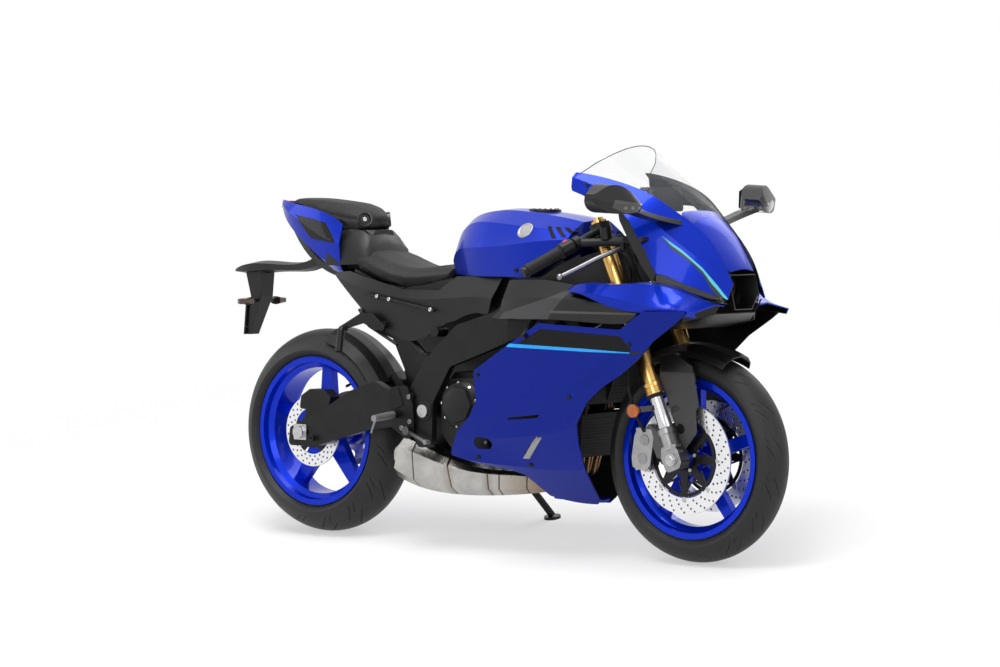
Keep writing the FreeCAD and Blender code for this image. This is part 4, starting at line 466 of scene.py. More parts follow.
BOBBIN = [(0, 2.4), (3, 2.4), (3.4, 1.2), (6.2, 1.8), (7.4, 0.8), (7.4, -7), (0, -7)]
EIGHTH, FIFTH, REAR_DISC_FACE = math.pi / 4, 1.257, 81
for side, name in SIDES:
    shape = bmesh.new()
    for i in range(8):
        lathe(shape, round_axle(FRONT_AXLE, 116, EIGHTH * i, side * DISC_FACE), (0, side, 0), BOBBIN, 20)
    for i in range(5):
        bolt(shape, round_axle(FRONT_AXLE, 38, FIFTH * i + 0.3, side * DISC_FACE), (0, side, 0), 5.5)
    piece("disc_screws_" + name, shape, bright_steel, "front_wheel")
shape = bmesh.new()
for i in range(5):
    bolt(shape, round_axle(REAR_AXLE, 44, FIFTH * i + 0.31, -REAR_DISC_FACE), (0, -1, 0), 6)
piece("rear_disc_screws", shape, bright_steel, "rear_wheel")

# Brake calipers. Four-piston blocks of cast aluminium, grey in front and black behind, with round
# piston caps and screws through their corners. Their outer faces, and the fork feet's, are milled pale.
cast_grey = worn_finish("cast_grey", ((0.24, 0.24, 0.245), (0.40, 0.40, 0.405)), (0.32, 0.2),
                        (25, 4), (1.1, 3), 0.12, 1.8, Metallic=0.9)
for name, node, face_y in (("caliper_grey", "front_calipers", 87), ("foot_grey", "fork_sliders", 127)):
    finish = Finish(name, Metallic=0.9)
    worn = finish.noise(25, 4)
    milled = abs(finish.upright()[1]).step(face_y, 1.5)
    pale = finish.mix(worn, (0.30, 0.30, 0.305), (0.46, 0.46, 0.465))
    finish.tone(milled, (0.10, 0.10, 0.103), pale, Roughness=worn * 0.2 + 0.3)
    paint(finish.relief(finish.noise(1.1, 3) * (1.4 - milled), 0.12, 1.8), node)
satin_black = worn_finish("satin_black_metal", ((0.008, 0.008, 0.009), (0.018, 0.018, 0.019)),
                          (0.3, 0.18), (50, 4), (1.6, 3), 0.06, 1.8, Metallic=0.5, Specular_IOR_Level=0.35)
paint(satin_black, "rear_caliper", "main_frame", "swingarm", "subframe", "fork_yokes", "handlebars",
      "pillion_pegs", "side_stand", "stand_mount", "fairing_stays")
CALIPER_AT, CALIPER_FACE, CALIPER_TILT = (582, 322), 90.5, math.radians(-9)
for side, name in SIDES:
    caps, screws = bmesh.new(), bmesh.new()
    for along in (-27, 27):
        spot = Vector((CALIPER_AT[0] - along * math.sin(CALIPER_TILT), side * CALIPER_FACE,
                       CALIPER_AT[1] + along * math.cos(CALIPER_TILT)))
        outline = [(0, 1.5), (9, 1.5), (10, 3), (14.5, 3), (16, 1.5), (16, -3), (0, -3)]
        lathe(caps, spot, (0, side, 0), outline, 32)
    for px, pz in ((558, 378), (604, 372), (556, 266), (598, 262)):
        bolt(screws, (px, side * 84, pz), (0, side, 0), 5)
    piece("caliper_caps_" + name, caps, cast_grey, "steering")
    piece("caliper_screws_" + name, screws, bright_steel, "steering")

# Fork. Upside-down legs: gold anodised outer tubes with turned rings at their lower ends, hard chromed
# inner tubes that slide in them past black wipers, and cast feet that clamp the axle.
RAKE, FORK_HALF, AXLE_END = math.radians(22.65), 105, 136


def on_leg(side, along, ahead=0.0):
    """A point of a fork leg, measured up the leg from the axle."""
    return FRONT_AXLE + Vector((ahead * math.cos(RAKE) - along * math.sin(RAKE), side * FORK_HALF,
                                along * math.cos(RAKE) + ahead * math.sin(RAKE)))


leg_way = on_leg(1, 1) - on_leg(1, 0)
gold = worn_finish("gold_anodised", ((0.55, 0.30, 0.08), (0.85, 0.54, 0.20)), (0.2, 0.1),
                   (30, 3), (0.7, 2), 0.02, 0.8, Metallic=1.0)
paint(gold, "fork_tubes")
chrome = Finish("hard_chrome", Metallic=1.0, Base_Color=(0.6, 0.6, 0.62))
chrome.set(Roughness=chrome.noise(40) * 0.05 + 0.1)
chrome.relief(chrome.noise(60, 1), 0.02)
wiper = plain_finish("wiper_rubber", 0.08, 1.3, Base_Color=(0.008, 0.008, 0.008), Roughness=0.55,
                     Specular_IOR_Level=0.25)
paint(wiper, "brake_hoses")
rings, sleeves, wipers = bmesh.new(), bmesh.new(), bmesh.new()
turned_ends = [(23.6, 232), (25.9, 231), (26.3, 226), (25.6, 224), (25.6, 216), (26.6, 215),
               (26.6, 209), (25.4, 208), (25.4, 203), (26.8, 202), (26.8, 197), (23.6, 196)]
wiper_lips = [(20.8, 196.5), (24.6, 196.4), (25, 190), (22.6, 186), (20.8, 186)]
chromed = [(20.7, 187), (20.9, 186), (20.9, 96), (20.7, 95)]
for side in (-1, 1):
    for shape, outline in ((rings, turned_ends), (wipers, wiper_lips), (sleeves, chromed)):
        lathe(shape, on_leg(side, 0), leg_way, outline)
piece("fork_rings", rings, gold, "steering")
piece("fork_wipers", wipers, wiper, "steering")
piece("fork_chrome", sleeves, chrome, "steering")
shape = bmesh.new()
for side in (-1, 1):
    bolt(shape, FRONT_AXLE + Vector((0, side * AXLE_END, 0)), (0, side, 0), 12, 3)
    for along in (16, 34):
        bolt(shape, on_leg(side, along, 27) + Vector((0, side * 2, 0)), (0, side, 0), 4.5, 24)
piece("axle_screws", shape, bright_steel, "steering")
paint(bright_steel, "front_axle", "rear_axle", "pivot_spindle", "rear_shock", "rear_sprocket",
      "drive_sprocket")

# Engine. A cast, black painted block and covers with a fine sand texture, held by small screws, and a
# facetted dome on the clutch cover; the radiator cores ahead are folded fins between flat tubes.
cast_black = Finish("engine_black", Metallic=0.55, Specular_IOR_Level=0.4)
worn = cast_black.noise(35, 5)
cast_black.tone(worn, (0.009, 0.009, 0.01), (0.02, 0.02, 0.021), Roughness=worn * 0.16 + 0.34)
cast_black.relief(cast_black.noise(1.0, 4) + worn * 2, 0.16, 2.2)
paint(cast_black, "engine_block", "engine_covers")
skins = {}


def surface(node, x, z, side):
    """Where a node's outer face is at one length and height, in millimetres, and the way it faces."""
    if node not in skins:
        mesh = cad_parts[node].data
        skins[node] = BVHTree.FromPolygons([vert.co for vert in mesh.vertices],
                                           [face.vertices for face in mesh.polygons])
    inwards = stance.to_3x3() @ Vector((0, -side, 0))
    spot, normal, _, _ = skins[node].ray_cast(place(x, side * 600, z), inwards)
    if spot is None:
        return None
    normal = home.to_3x3() @ normal
    return home @ spot * 1000, normal if normal.y * side > 0 else -normal


def screws_on(name, node, spots, sides, radius, finish):
    """Small screws stood square on the outer face of a node."""
    shape = bmesh.new()
    for side in sides:
        for x, z in spots:
            found = surface(node, x, z, side)
            if found:
                bolt(shape, found[0], found[1], radius, radius * 0.5)
    piece(name, shape, finish)


CLUTCH_X, CLUTCH_Y, CLUTCH_Z = -46, -168, 428
cover_rim = [(CLUTCH_X + 66 * math.cos(turn), CLUTCH_Z + 66 * math.sin(turn))
             for turn in (0.2, 0.9, 1.6, 2.3, 3.1, 3.8, 4.6, 5.4)]
screws_on("cover_screws", "engine_covers", cover_rim + [(40, 500), (56, 420), (48, 320), (-52, 285)],
          (-1,), 4.6, bright_steel)
shape = bmesh.new()
lathe(shape, (CLUTCH_X, CLUTCH_Y, CLUTCH_Z), (0, -1, 0), [(58, -2), (54, 7), (36, 12), (0, 13)], 7)
piece("cover_dome", shape, cast_black)
core = Finish("radiator_core", Metallic=0.4, Roughness=0.5)
_, y, z = core.upright()
fins = abs(z.repeat(9)).step(3.2, 0.5) + (1 - abs(y.repeat(2.6)).step(0.5, 0.3)) * 0.5
core.tone(fins.maths("MINIMUM", 1.0), (0.003, 0.003, 0.003), (0.014, 0.014, 0.015))
core.relief(fins, 0.8)
paint(core, "radiators")

# Exhaust. Stainless header pipes and a welded box under the engine: brushed sheet, browned by heat in
# front, with weld seams and folded straps across it.
steel_sheet = Finish("exhaust_steel", Metallic=1.0)
x, _, z = steel_sheet.upright()
stains = steel_sheet.noise(60, 5)
brushed = steel_sheet.noise(2.0, 3)
tint = steel_sheet.mix(stains, (0.27, 0.26, 0.245), (0.62, 0.61, 0.58))
hot = (x + stains * 120).step(190, 90)
tint = steel_sheet.mix(hot, tint, (0.22, 0.135, 0.075))
seams = 0.0
for place_x, slope in ((-236, 0.1), (-112, 0.25), (20, 0.1), (60, 0.0), (150, 0.0)):
    seams = (1 - abs(x + z * slope - place_x - 220 * slope).step(2.0, 1.2)) + seams
scorched = (1 - abs(x - 20).step(12, 11)) * 0.4 + (1 - abs(x + 112).step(12, 11)) * 0.35
tint = steel_sheet.mix(scorched, tint, (0.16, 0.10, 0.06))
steel_sheet.tone(seams.maths("MINIMUM", 1.0), tint, (0.07, 0.055, 0.045), Roughness=stains * 0.2 + 0.16)
steel_sheet.relief(seams * 3 + brushed * 0.4, 0.5, 3.0)
paint(steel_sheet, "silencer", "exhaust_headers")

# Final drive. A plain roller chain runs over steel sprockets on the left, oiled and a little dirty.
oiled = worn_finish("oiled_steel", ((0.05, 0.045, 0.04), (0.26, 0.25, 0.23)), (0.3, 0.3),
                    (6, 4), (1.5, 3), 0.15, Metallic=0.9)
paint(oiled, "drive_chain")

# Black plastics. Moulded covers, ducts, hugger and guards, with a fine even grain in the mould. The
# inner panels have a satin grey wedge in glossy black, and the guard plates are a paler grey.
grained = worn_finish("grained_plastic", ((0.005, 0.005, 0.006), (0.011, 0.011, 0.012)), (0.36, 0.12),
                      (70, 3), (0.9, 2), 0.05, 1.6, Specular_IOR_Level=0.3)
paint(grained, "airbox", "cockpit", "nose_duct", "side_covers", "undertail", "plate_hanger",
      "rear_hugger", "fuel_cap")
two_tone = Finish("two_tone_plastic", Specular_IOR_Level=0.4)
x, _, z = two_tone.upright()
wedge = two_tone.within(x, z, [(100, 560), (340, 680), (340, 757), (165, 706), (120, 650)], 3)
wedge = two_tone.within(x, z, [(338, 700), (396, 770), (375, 774), (338, 756)], 3) + wedge
wedge = wedge.maths("MINIMUM", 1.0)
slat = two_tone.within(x, z, [(345, 709), (690, 711), (690, 716), (345, 716)], 0.8)
colour = two_tone.mix(wedge, (0.002, 0.002, 0.003), (0.026, 0.026, 0.028))
two_tone.tone(slat, colour, (0.06, 0.06, 0.062), Roughness=wedge * 0.22 + 0.2)
two_tone.relief(two_tone.noise(0.9, 2) * wedge + slat * 4, 0.05, 1.6)
paint(two_tone, "inner_panels")
guard = Finish("guard_plastic", Specular_IOR_Level=0.4)
_, y, z = guard.upright()
plate = abs(y).step(84, 1) * (1 - z.step(545, 3))
guard.tone(plate, (0.006, 0.006, 0.007), (0.05, 0.05, 0.052), Roughness=plate * 0.15 + 0.26)
guard.relief(guard.noise(0.9, 2), 0.04, 1.6)
paint(guard, "front_mudguard")

# Fuel tank. Pressed steel in the same lacquered blue, with four slanted air slots in each side, painted
# flat and near black as painted shade, a bare round seat for a badge, and the filler cap in its ring of
# screws on top.
tank_blue = blue_paint("tank_blue", lined=False)
x, y, z = tank_blue.upright()
shaded_slots = 0.0
for i in range(4):
    left, top, low = 255 + 27 * i, 957 - 2 * i, 921 + 4 * i
    corners = [(left, top), (left + 44, low), (left + 59, low), (left + 14, top)]
    shaded_slots = tank_blue.within(x, z, corners, 0.6) * abs(y).step(90) + shaded_slots
# The slots are painted near black as painted shade, with no opening cut.
tank_blue.tone(shaded_slots, tank_blue.colour, (0.003, 0.003, 0.006),
               Metallic=(1 - shaded_slots) * FLAKE, Coat_Weight=(1 - shaded_slots) * LACQUER)
paint(tank_blue, "fuel_tank")
for side, name in SIDES:
    found = surface("fuel_tank", 187, 944, side)
    shape = bmesh.new()
    outline = [(0, 1.2), (20, 1.2), (21.5, 2.4), (25, 2.4), (26.5, 1.0), (26.5, -4), (0, -4)]
    lathe(shape, found[0], found[1], outline, 64)
    piece("badge_seat_" + name, shape, cast_grey)
shape = bmesh.new()
cap_low, cap_high = (Vector(corner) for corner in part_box("fuel_cap"))
cap_at = Vector(((home @ ((cap_low + cap_high) / 2)).x * 1000, 0, 1003.6))
outline = [(0, 1.4), (17, 1.4), (18.5, 0.4), (29, 0.4), (30, 2.2), (45, 2.2), (47, 0.6), (47, -3), (0, -3)]
lathe(shape, cap_at, (0, 0, 1), outline, 64)
for i in range(7):
    turn = 2 * math.pi * i / 7
    bolt(shape, cap_at + Vector((math.cos(turn) * 38, math.sin(turn) * 38, 2.2)), (0, 0, 1), 3.2, 1.8)
piece("filler_ring", shape, satin_black)

# Side fairings. Injection-moulded panels, lacquered blue like the keel, the shoulders and the tail but laid
# darker as painted shade, with a black field and a pale blue pinstripe below their upper edges, and
# quarter-turn fasteners along their joints. No lettering is put on them, and the tail cowl's two blades
# are told apart by a black notch.
# The side panels' blue tones are darker than the same lacquer elsewhere: painted shade on these sides.
shaded_side_blue = blue_paint("shaded_side_blue", deep=(0.0002, 0.006, 0.14), lit=(0.0003, 0.018, 0.33))
x, _, z = shaded_side_blue.upright()
field = shaded_side_blue.within(x, z, [(232, 618), (648, 604), (608, 650), (320, 664)])
middle = shaded_side_blue.follow(x, [(190, 613.5), (650, 603.3)])
width = shaded_side_blue.follow(x, [(190, 5.2), (480, 4.2), (650, 1.2)])
stripe = (1 - (abs(z - middle) - width).step(0, 0.6)) * x.step(192) * (1 - x.step(642))
tail = shaded_side_blue.within(x, z, [(636, 599), (690, 602), (690, 604), (636, 609)])
colour = shaded_side_blue.mix(field, shaded_side_blue.colour, (0.003, 0.003, 0.004))
colour = shaded_side_blue.mix(stripe, colour, (0.03, 0.36, 0.86))
marked = (field + stripe).maths("MINIMUM", 1.0)
colour = shaded_side_blue.mix(tail, colour, (0.02, 0.02, 0.022))
shaded_side_blue.tone(shaded_side_blue.outer, LINING, colour, Metallic=(1 - marked) * shaded_side_blue.outer * FLAKE)
paint(shaded_side_blue, "side_fairing_left", "side_fairing_right")
plain_blue = blue_paint("plain_blue")
paint(plain_blue, "belly_keel", "fairing_shoulders")
tail_blue = blue_paint("tail_blue")
x, y, z = tail_blue.upright()
corners = [(-770, 985), (-712, 927), (-690, 912), (-575, 900), (-625, 962), (-690, 975)]
notch = tail_blue.within(x, z, corners, 1.2) * abs(y).step(60, 4)
tail_blue.tone(notch, tail_blue.colour, (0.004, 0.004, 0.005),
               Metallic=(1 - notch) * tail_blue.outer * FLAKE)
tail_blue.relief(1 - notch, 3, 1.6)
paint(tail_blue, "tail_cowl")
FASTENERS = [(414, 247), (82, 524), (62, 280), (228, 263), (636, 628), (420, 470)]
for side, name in SIDES:
    screws_on("fasteners_" + name, "side_fairing_" + name, FASTENERS, (side,), 6.5, satin_black)
screws_on("tank_screws", "fuel_tank", [(165, 828)], (-1, 1), 6.5, satin_black)

# Upper fairing. Two lacquered blue cheeks of moulded plastic, with a two-colour flash that widens
# towards the nose on each, and slits below them for the lights' smoked lenses.
cowl_blue = blue_paint("cowl_blue")
z, sight = cowl_blue.upright()[2], cowl_blue.sight()
FLASH_TOP = [(435, 934), (492, 893), (548, 844), (589, 796), (626, 748)]
FLASH_LOW = [(435, 934), (462, 897), (514, 859), (551, 822), (574, 781), (606, 748)]
flash_top, flash_low = cowl_blue.follow(sight, FLASH_TOP), cowl_blue.follow(sight, FLASH_LOW)
flash_mid = flash_low * 0.45 + flash_top * 0.55
inside = (1 - (z - flash_top).step(0, 0.8)) * (z - flash_low).step(0, 0.8)
inside = inside * sight.step(438) * (1 - sight.step(626)) * cowl_blue.outer
flash = cowl_blue.mix((z - flash_mid).step(0, 0.8), (0.04, 0.05, 0.06), (0.12, 0.56, 0.66))
cowl_blue.tone(inside, cowl_blue.colour, flash, Metallic=(1 - inside) * cowl_blue.outer * FLAKE)
paint(cowl_blue, "upper_fairing")
screws_on("cowl_screws", "upper_fairing", [(452, 1076)], (-1, 1), 5.5, satin_black)
smoked = Finish("smoked_lens", Coat_Weight=0.6, Specular_IOR_Level=0.5)
x, _, z = smoked.upright()
ribs = 1 - abs((z + x * 0.38).repeat(9)).step(0.8, 0.5)
smoked.tone(ribs, (0.004, 0.004, 0.005), (0.09, 0.09, 0.1), Roughness=smoked.noise(30) * 0.06 + 0.08)
smoked.relief(ribs, 1.2, 1.0)
paint(smoked, "headlights")


# Nose. A blue blade bridges the cheeks over a black mouth with a round lamp in it, and black liners
# close the cowl behind each cheek and below. All are thin moulded panels, clipped to the cowl's stays.
def panel(rows, thickness=3.0, both=False):
    """A moulded panel through rows of points, given a wall and, where it is one of two, its twin."""
    shape = bmesh.new()
    last = []
    for row in rows:
        dots = [shape.verts.new(dot) for dot in row]
        lines = [shape.edges.new(pair) for pair in zip(dots, dots[1:])]
        if last:
            bmesh.ops.bridge_loops(shape, edges=last + lines)
        last = lines
    bmesh.ops.recalc_face_normals(shape, faces=shape.faces)
    bmesh.ops.solidify(shape, geom=shape.faces, thickness=thickness)
    if both:
        bmesh.ops.mirror(shape, geom=[*shape.verts, *shape.edges, *shape.faces], axis="Y", merge_dist=-1)
    return shape


blade = []
for edge_x, edge_y, edge_z, ridge_x, ridge_z in ((704, 104, 1000, 716, 1006), (760, 84, 957, 764, 978),
                                                 (800, 77, 921, 804, 926), (840, 71, 862, 842, 874),
                                                 (862, 68, 824, 866, 838)):
    part_x, part_z = edge_x * 0.35 + ridge_x * 0.65, edge_z * 0.2 + ridge_z * 0.8
    blade.append([(edge_x, -edge_y, edge_z), (part_x, -edge_y * 0.55, part_z), (ridge_x, 0, ridge_z),
                  (part_x, edge_y * 0.55, part_z), (edge_x, edge_y, edge_z)])
nose_blue = blue_paint("nose_blue", lined=False)
nose_panel = piece("nose_panel", panel(blade), nose_blue)
smoother = nose_panel.modifiers.new("smooth", "SUBSURF")
smoother.levels = smoother.render_levels = 2
gloss_black = worn_finish("gloss_black", ((0.003, 0.003, 0.004), (0.006, 0.006, 0.007)), (0.16, 0.08),
                          (80, 3), (3, 2), 0.02, 1.0, Specular_IOR_Level=0.5)
shape = bmesh.new()
MOUTH_X, MOUTH_Z, MOUTH_BACK = 862, 775, 800
mouth = [(MOUTH_X, -63, 824), (MOUTH_X, 63, 824), (872, 67, 772),
         (866, 42, 724), (866, -42, 724), (872, -67, 772)]
dots = [shape.verts.new(dot) for dot in mouth]
lines = [shape.edges.new(pair) for pair in zip(dots, dots[1:] + dots[:1])]
deep = bmesh.ops.extrude_edge_only(shape, edges=lines)["geom"]
inner = [part for part in deep if isinstance(part, bmesh.types.BMVert)]
for vert in inner:
    vert.co = Vector((MOUTH_BACK, vert.co.y * 0.72, MOUTH_Z + (vert.co.z - MOUTH_Z) * 0.7))
bmesh.ops.edgeloop_fill(shape, edges=[part for part in deep if isinstance(part, bmesh.types.BMEdge)
                                      and all(end in inner for end in part.verts)])
bmesh.ops.recalc_face_normals(shape, faces=shape.faces)
bmesh.ops.solidify(shape, geom=shape.faces, thickness=3)
piece("nose_mouth", shape, gloss_black, stands_for="nose_duct")
shape = bmesh.new()
outline = [(0, 14), (10, 12.5), (18, 9), (23, 3), (25, -2), (0, -2)]
lathe(shape, (MOUTH_BACK + 6, 0, MOUTH_Z + 1), (1, 0, 0), outline, 40)
piece("nose_lamp", shape, smoked)
liner = panel([[(556, 177, 1000), (574, 178, 994), (640, 184, 946), (674, 190, 892), (704, 198, 826)],
               [(562, 179, 975), (590, 184, 934), (618, 189, 892), (650, 194, 850), (694, 199, 800)]],
              both=True)
piece("cowl_liner", liner, grained)
liner = panel([[(600, 206, 752), (700, 206, 748), (790, 176, 740), (862, 96, 752)],
               [(620, 216, 660), (700, 212, 672), (780, 176, 690), (838, 96, 716)]], both=True)
piece("nose_liner", liner, grained)


def level_rows(*rows):
    """Rows of two points, on the left and the right, from their (length, half-width, height)."""
    return [[(x, -half, z), (x, half, z)] for x, half, z in rows]


tray = panel(level_rows((838, 96, 716), (760, 180, 690), (660, 190, 668)))
piece("nose_tray", tray, grained)

# Screen. Blown clear acrylic, screwed to the cheeks, with a thin gloss black bar along its top edge as
# painted shade for the dark line that the clear edge shows, and a moulded black trim inside its lower
# edges that hides the stays.
clear = Finish("clear_acrylic", Base_Color=(0.30, 0.32, 0.35), Roughness=0.04, Specular_IOR_Level=0.5)
clear.set(Alpha=clear.noise(90, 2) * 0.03 + 0.06)
clear.relief(clear.noise(160, 1), 0.3)
paint(clear, "windscreen")
for side, name in SIDES:
    shape = bmesh.new()
    edge = [(462, 156, 1092), (520, 147, 1074), (600, 131, 1046), (680, 107, 1006), (742, 82, 966)]
    dots = [shape.verts.new((px, side * py, pz)) for px, py, pz in edge]
    lines = [shape.edges.new(pair) for pair in zip(dots, dots[1:])]
    low = bmesh.ops.extrude_edge_only(shape, edges=lines)["geom"]
    low = [vert for vert in low if isinstance(vert, bmesh.types.BMVert)]
    for vert in low:
        depth = 10 + 34 * (vert.co.x - 462) / 280
        vert.co += Vector((-6, -side * depth * 0.55, -depth * 0.8))
    bmesh.ops.solidify(shape, geom=shape.faces, thickness=2.5)
    piece("screen_trim_" + name, shape, grained)


def flat_plate(corners, thickness):
    """A flat plate with these corners."""
    shape = bmesh.new()
    shape.faces.new([shape.verts.new(corner) for corner in corners])
    bmesh.ops.solidify(shape, geom=shape.faces, thickness=thickness)
    return shape


corners = [(742, -70, 952), (742, 70, 952), (676, 88, 966), (676, -88, 966)]
piece("screen_floor", flat_plate(corners, 3), grained)
rim = [(412, 164, 1109.7), (420, 160.6, 1115), (450, 140.5, 1139), (480, 104, 1163), (500, 68, 1179),
       (509, 30, 1187), (511, 0, 1188.6)]
rim += [(px, -py, pz) for px, py, pz in rim[-2::-1]]
# A thin gloss black bar along the screen's top edge: painted shade for the dark line of its clear edge.
shape = bmesh.new()
for start, end in zip(rim, rim[1:]):
    bar(shape, start, end, 1.3, sides=8)
piece("screen_edge_shade", shape, gloss_black)

# Mirrors. Black pods on short stalks, with a smoked signal lens let into the front of each and a flat
# glass behind.
pod = Finish("mirror_pod", Specular_IOR_Level=0.4)
x, _, z = pod.upright()
sight, in_front = pod.sight(), x.step(655)
lens = pod.within(sight, z, [(292, 1012), (330, 996), (398, 1004), (388, 1020), (300, 1034)]) * in_front
lamps = 0.0
for middle in (330, 350, 370):
    lamps = (1 - (((sight - middle) ** 2 + (z - 1011) ** 2) ** 0.5).step(4.5, 1.5)) * in_front + lamps
colour = pod.mix(lens, (0.006, 0.006, 0.007), (0.03, 0.031, 0.033))
pod.tone(lamps, colour, (0.16, 0.15, 0.13), Roughness=0.36 - lens * 0.26, Coat_Weight=lens * 0.8)
pod.relief(pod.noise(0.9, 2) * (1 - lens), 0.04, 2.0)
paint(pod, "mirrors")
glass = plain_finish("mirror_glass", 0.02, 300, 1, Metallic=1.0, Base_Color=(0.75, 0.77, 0.8), Roughness=0.02)
for side, name in SIDES:
    corners = ((326, 1010), (350, 1004), (398, 1013), (418, 1028),
               (412, 1052), (392, 1062), (350, 1068), (328, 1058))
    shape = flat_plate([(621.5 + max(0, (py - 400) * 0.28), side * py, pz) for py, pz in corners], 5)
    bmesh.ops.translate(shape, verts=shape.verts, vec=(-5, 0, 0))
    piece("mirror_glass_" + name, shape, glass)

# Controls. Black clip-on bars with ribbed rubber grips, forged silver levers, red switches, and the
# display on its carrier behind the screen; reflectors and signals are moulded amber prisms.
BAR_START, BAR_END = (449.7, 130, 944.9), (352, 338, 832)


def beside(side, spot):
    """A point given for the left side, on that side or its twin on the other."""
    return Vector((spot[0], side * spot[1], spot[2]))


def rounded_block(shape, matrix, offset):
    """A block of unit size, placed by a matrix, with all its edges rounded."""
    made = bmesh.ops.create_cube(shape, size=1, matrix=matrix)["verts"]
    edges = {edge for vert in made for edge in vert.link_edges}
    bmesh.ops.bevel(shape, geom=list(edges), offset=offset, segments=3, profile=0.5, affect="EDGES",
                    material=-1)


ribbed = Finish("grip_rubber", Base_Color=(0.009, 0.009, 0.009), Specular_IOR_Level=0.3)
ribbed.set(Roughness=ribbed.noise(10) * 0.15 + 0.55)
ribbed.relief(ribbed.noise(1.0), 0.08)
satin_alloy = worn_finish("satin_alloy", ((0.16, 0.16, 0.165), (0.30, 0.30, 0.31)), (0.26, 0.15),
                          (18, 4), (0.7, 2), 0.02, 0.8, Metallic=1.0)
red_plastic = plain_finish("red_plastic", 0.03, 1.0, 2, Base_Color=(0.42, 0.008, 0.008), Roughness=0.35)
grips, levers, switches, weights = bmesh.new(), bmesh.new(), bmesh.new(), bmesh.new()
lever_path = [((545, 134, 902), 7.2), ((524, 168, 884), 7.6), ((500, 205, 866), 7.2),
              ((472, 254, 840), 6.6), ((446, 297, 817.5), 6.4)]
for side in (-1, 1):
    end = beside(side, BAR_END)
    way = (end - beside(side, BAR_START)).normalized()
    start = end - way * 121
    outline = [(15.5, 0), (19.5, 0), (20.5, 2), (19.5, 4), (17, 6)]
    for rib in range(18):
        outline += [(17.6, 9 + 5.8 * rib), (17.6, 12 + 5.8 * rib),
                    (16.7, 12.6 + 5.8 * rib), (16.7, 14.2 + 5.8 * rib)]
    outline += [(18.3, 117), (18.3, 120), (15.5, 121)]
    lathe(grips, start, way, outline, 40)
    lathe(weights, end, way, [(0, 12.4), (8, 12.4), (12.6, 11), (14.3, 8), (14.3, -1.5), (0, -1.5)], 40)
    balls = [((444, 300, 816), 9.5)]
    for (near, near_r), (far, far_r) in zip(lever_path, lever_path[1:]):
        bar(levers, beside(side, near), beside(side, far), near_r, far_r, 20)
        balls.insert(-1, (far, far_r * 1.01))
    for spot, radius in balls:
        bmesh.ops.create_icosphere(levers, subdivisions=3, radius=radius,
                                   matrix=Matrix.Translation(beside(side, spot)))
    spot = start - way * 20 + Vector((-4, 0, 19))
    turn = Matrix.Translation(spot) @ way.to_track_quat("X", "Z").to_matrix().to_4x4()
    rounded_block(switches, turn @ Matrix.Diagonal((13, 18, 9, 1)), 2.2)
piece("grips", grips, ribbed, "steering")
piece("bar_weights", weights, satin_black, "steering")
piece("levers", levers, satin_alloy, "steering")
piece("stop_switches", switches, red_plastic, "steering")
display = plain_finish("display", 0.02, 200, 1, Base_Color=(0.004, 0.004, 0.005), Roughness=0.15,
                       Coat_Weight=0.6)
shape = bmesh.new()
rounded_block(shape, Matrix.Translation((559, 0, 1036)) @ Matrix.Diagonal((4, 132, 52, 1)), 1.6)
piece("display_glass", shape, display)
REFLECTOR_X, REFLECTOR_Z, REFLECTOR_R = 580, 434, 19.4
amber = Finish("amber_lens", Coat_Weight=0.7, Roughness=0.16)
x, _, z = amber.upright()
prisms = abs((x + z).repeat(5)) + abs((x - z).repeat(5))
disc = 1 - ((x - REFLECTOR_X) ** 2 + (z - REFLECTOR_Z) ** 2).step(REFLECTOR_R ** 2, 8)
orange = amber.mix(amber.noise(12), (0.50, 0.085, 0.003), (0.80, 0.20, 0.012))
amber.tone(disc, (0.006, 0.006, 0.006), orange)
amber.relief(prisms * disc, 0.3, 0.8)
paint(amber, "reflectors")
dim_amber = worn_finish("dim_amber_lens", ((0.02, 0.008, 0.004), (0.06, 0.02, 0.006)), (0.16, 0.0),
                        (10, 3), (4, 3), 0.2, 1.0, Coat_Weight=0.7)
paint(dim_amber, "rear_indicators")

# Inner shields. A black sheet down the middle, between frame and fairings, is painted shade for the
# depths there; pale ducts sit behind the vents, gloss black discs in the fork guards' holes are painted
# shade for what is seen through them, and rails are bolted on the covers.
SHADE_SHEET_LOW, SHADE_SHEET_MIDDLE = 262, 560
# The middle sheet is painted shade: a flat black sheet where the machine is dark between its parts.
shade_sheet = panel([[(-345, 0, SHADE_SHEET_LOW), (-398, 0, 515), (-470, 0, 655)],
                [(-230, 0, SHADE_SHEET_LOW), (-240, 0, SHADE_SHEET_MIDDLE), (-190, 0, 700)],
                [(-60, 0, SHADE_SHEET_LOW), (-20, 0, SHADE_SHEET_MIDDLE), (0, 0, 690)],
                [(150, 0, SHADE_SHEET_LOW), (160, 0, SHADE_SHEET_MIDDLE), (140, 0, 690)],
                [(330, 0, 300), (350, 0, 520), (330, 0, 650)],
                [(425, 0, 556), (445, 0, 640), (425, 0, 706)]])
piece("middle_shade_sheet", shade_sheet, grained)
pale_plastic = worn_finish("pale_plastic", ((0.22, 0.22, 0.22), (0.34, 0.34, 0.34)), (0.4, 0.0),
                           (20, 3), (1.0, 3), 0.04)
vents = panel([[(222, 190, 284), (290, 208, 362)], [(246, 192, 284), (304, 208, 348)]], 2, True)
piece("vent_ducts", vents, pale_plastic)
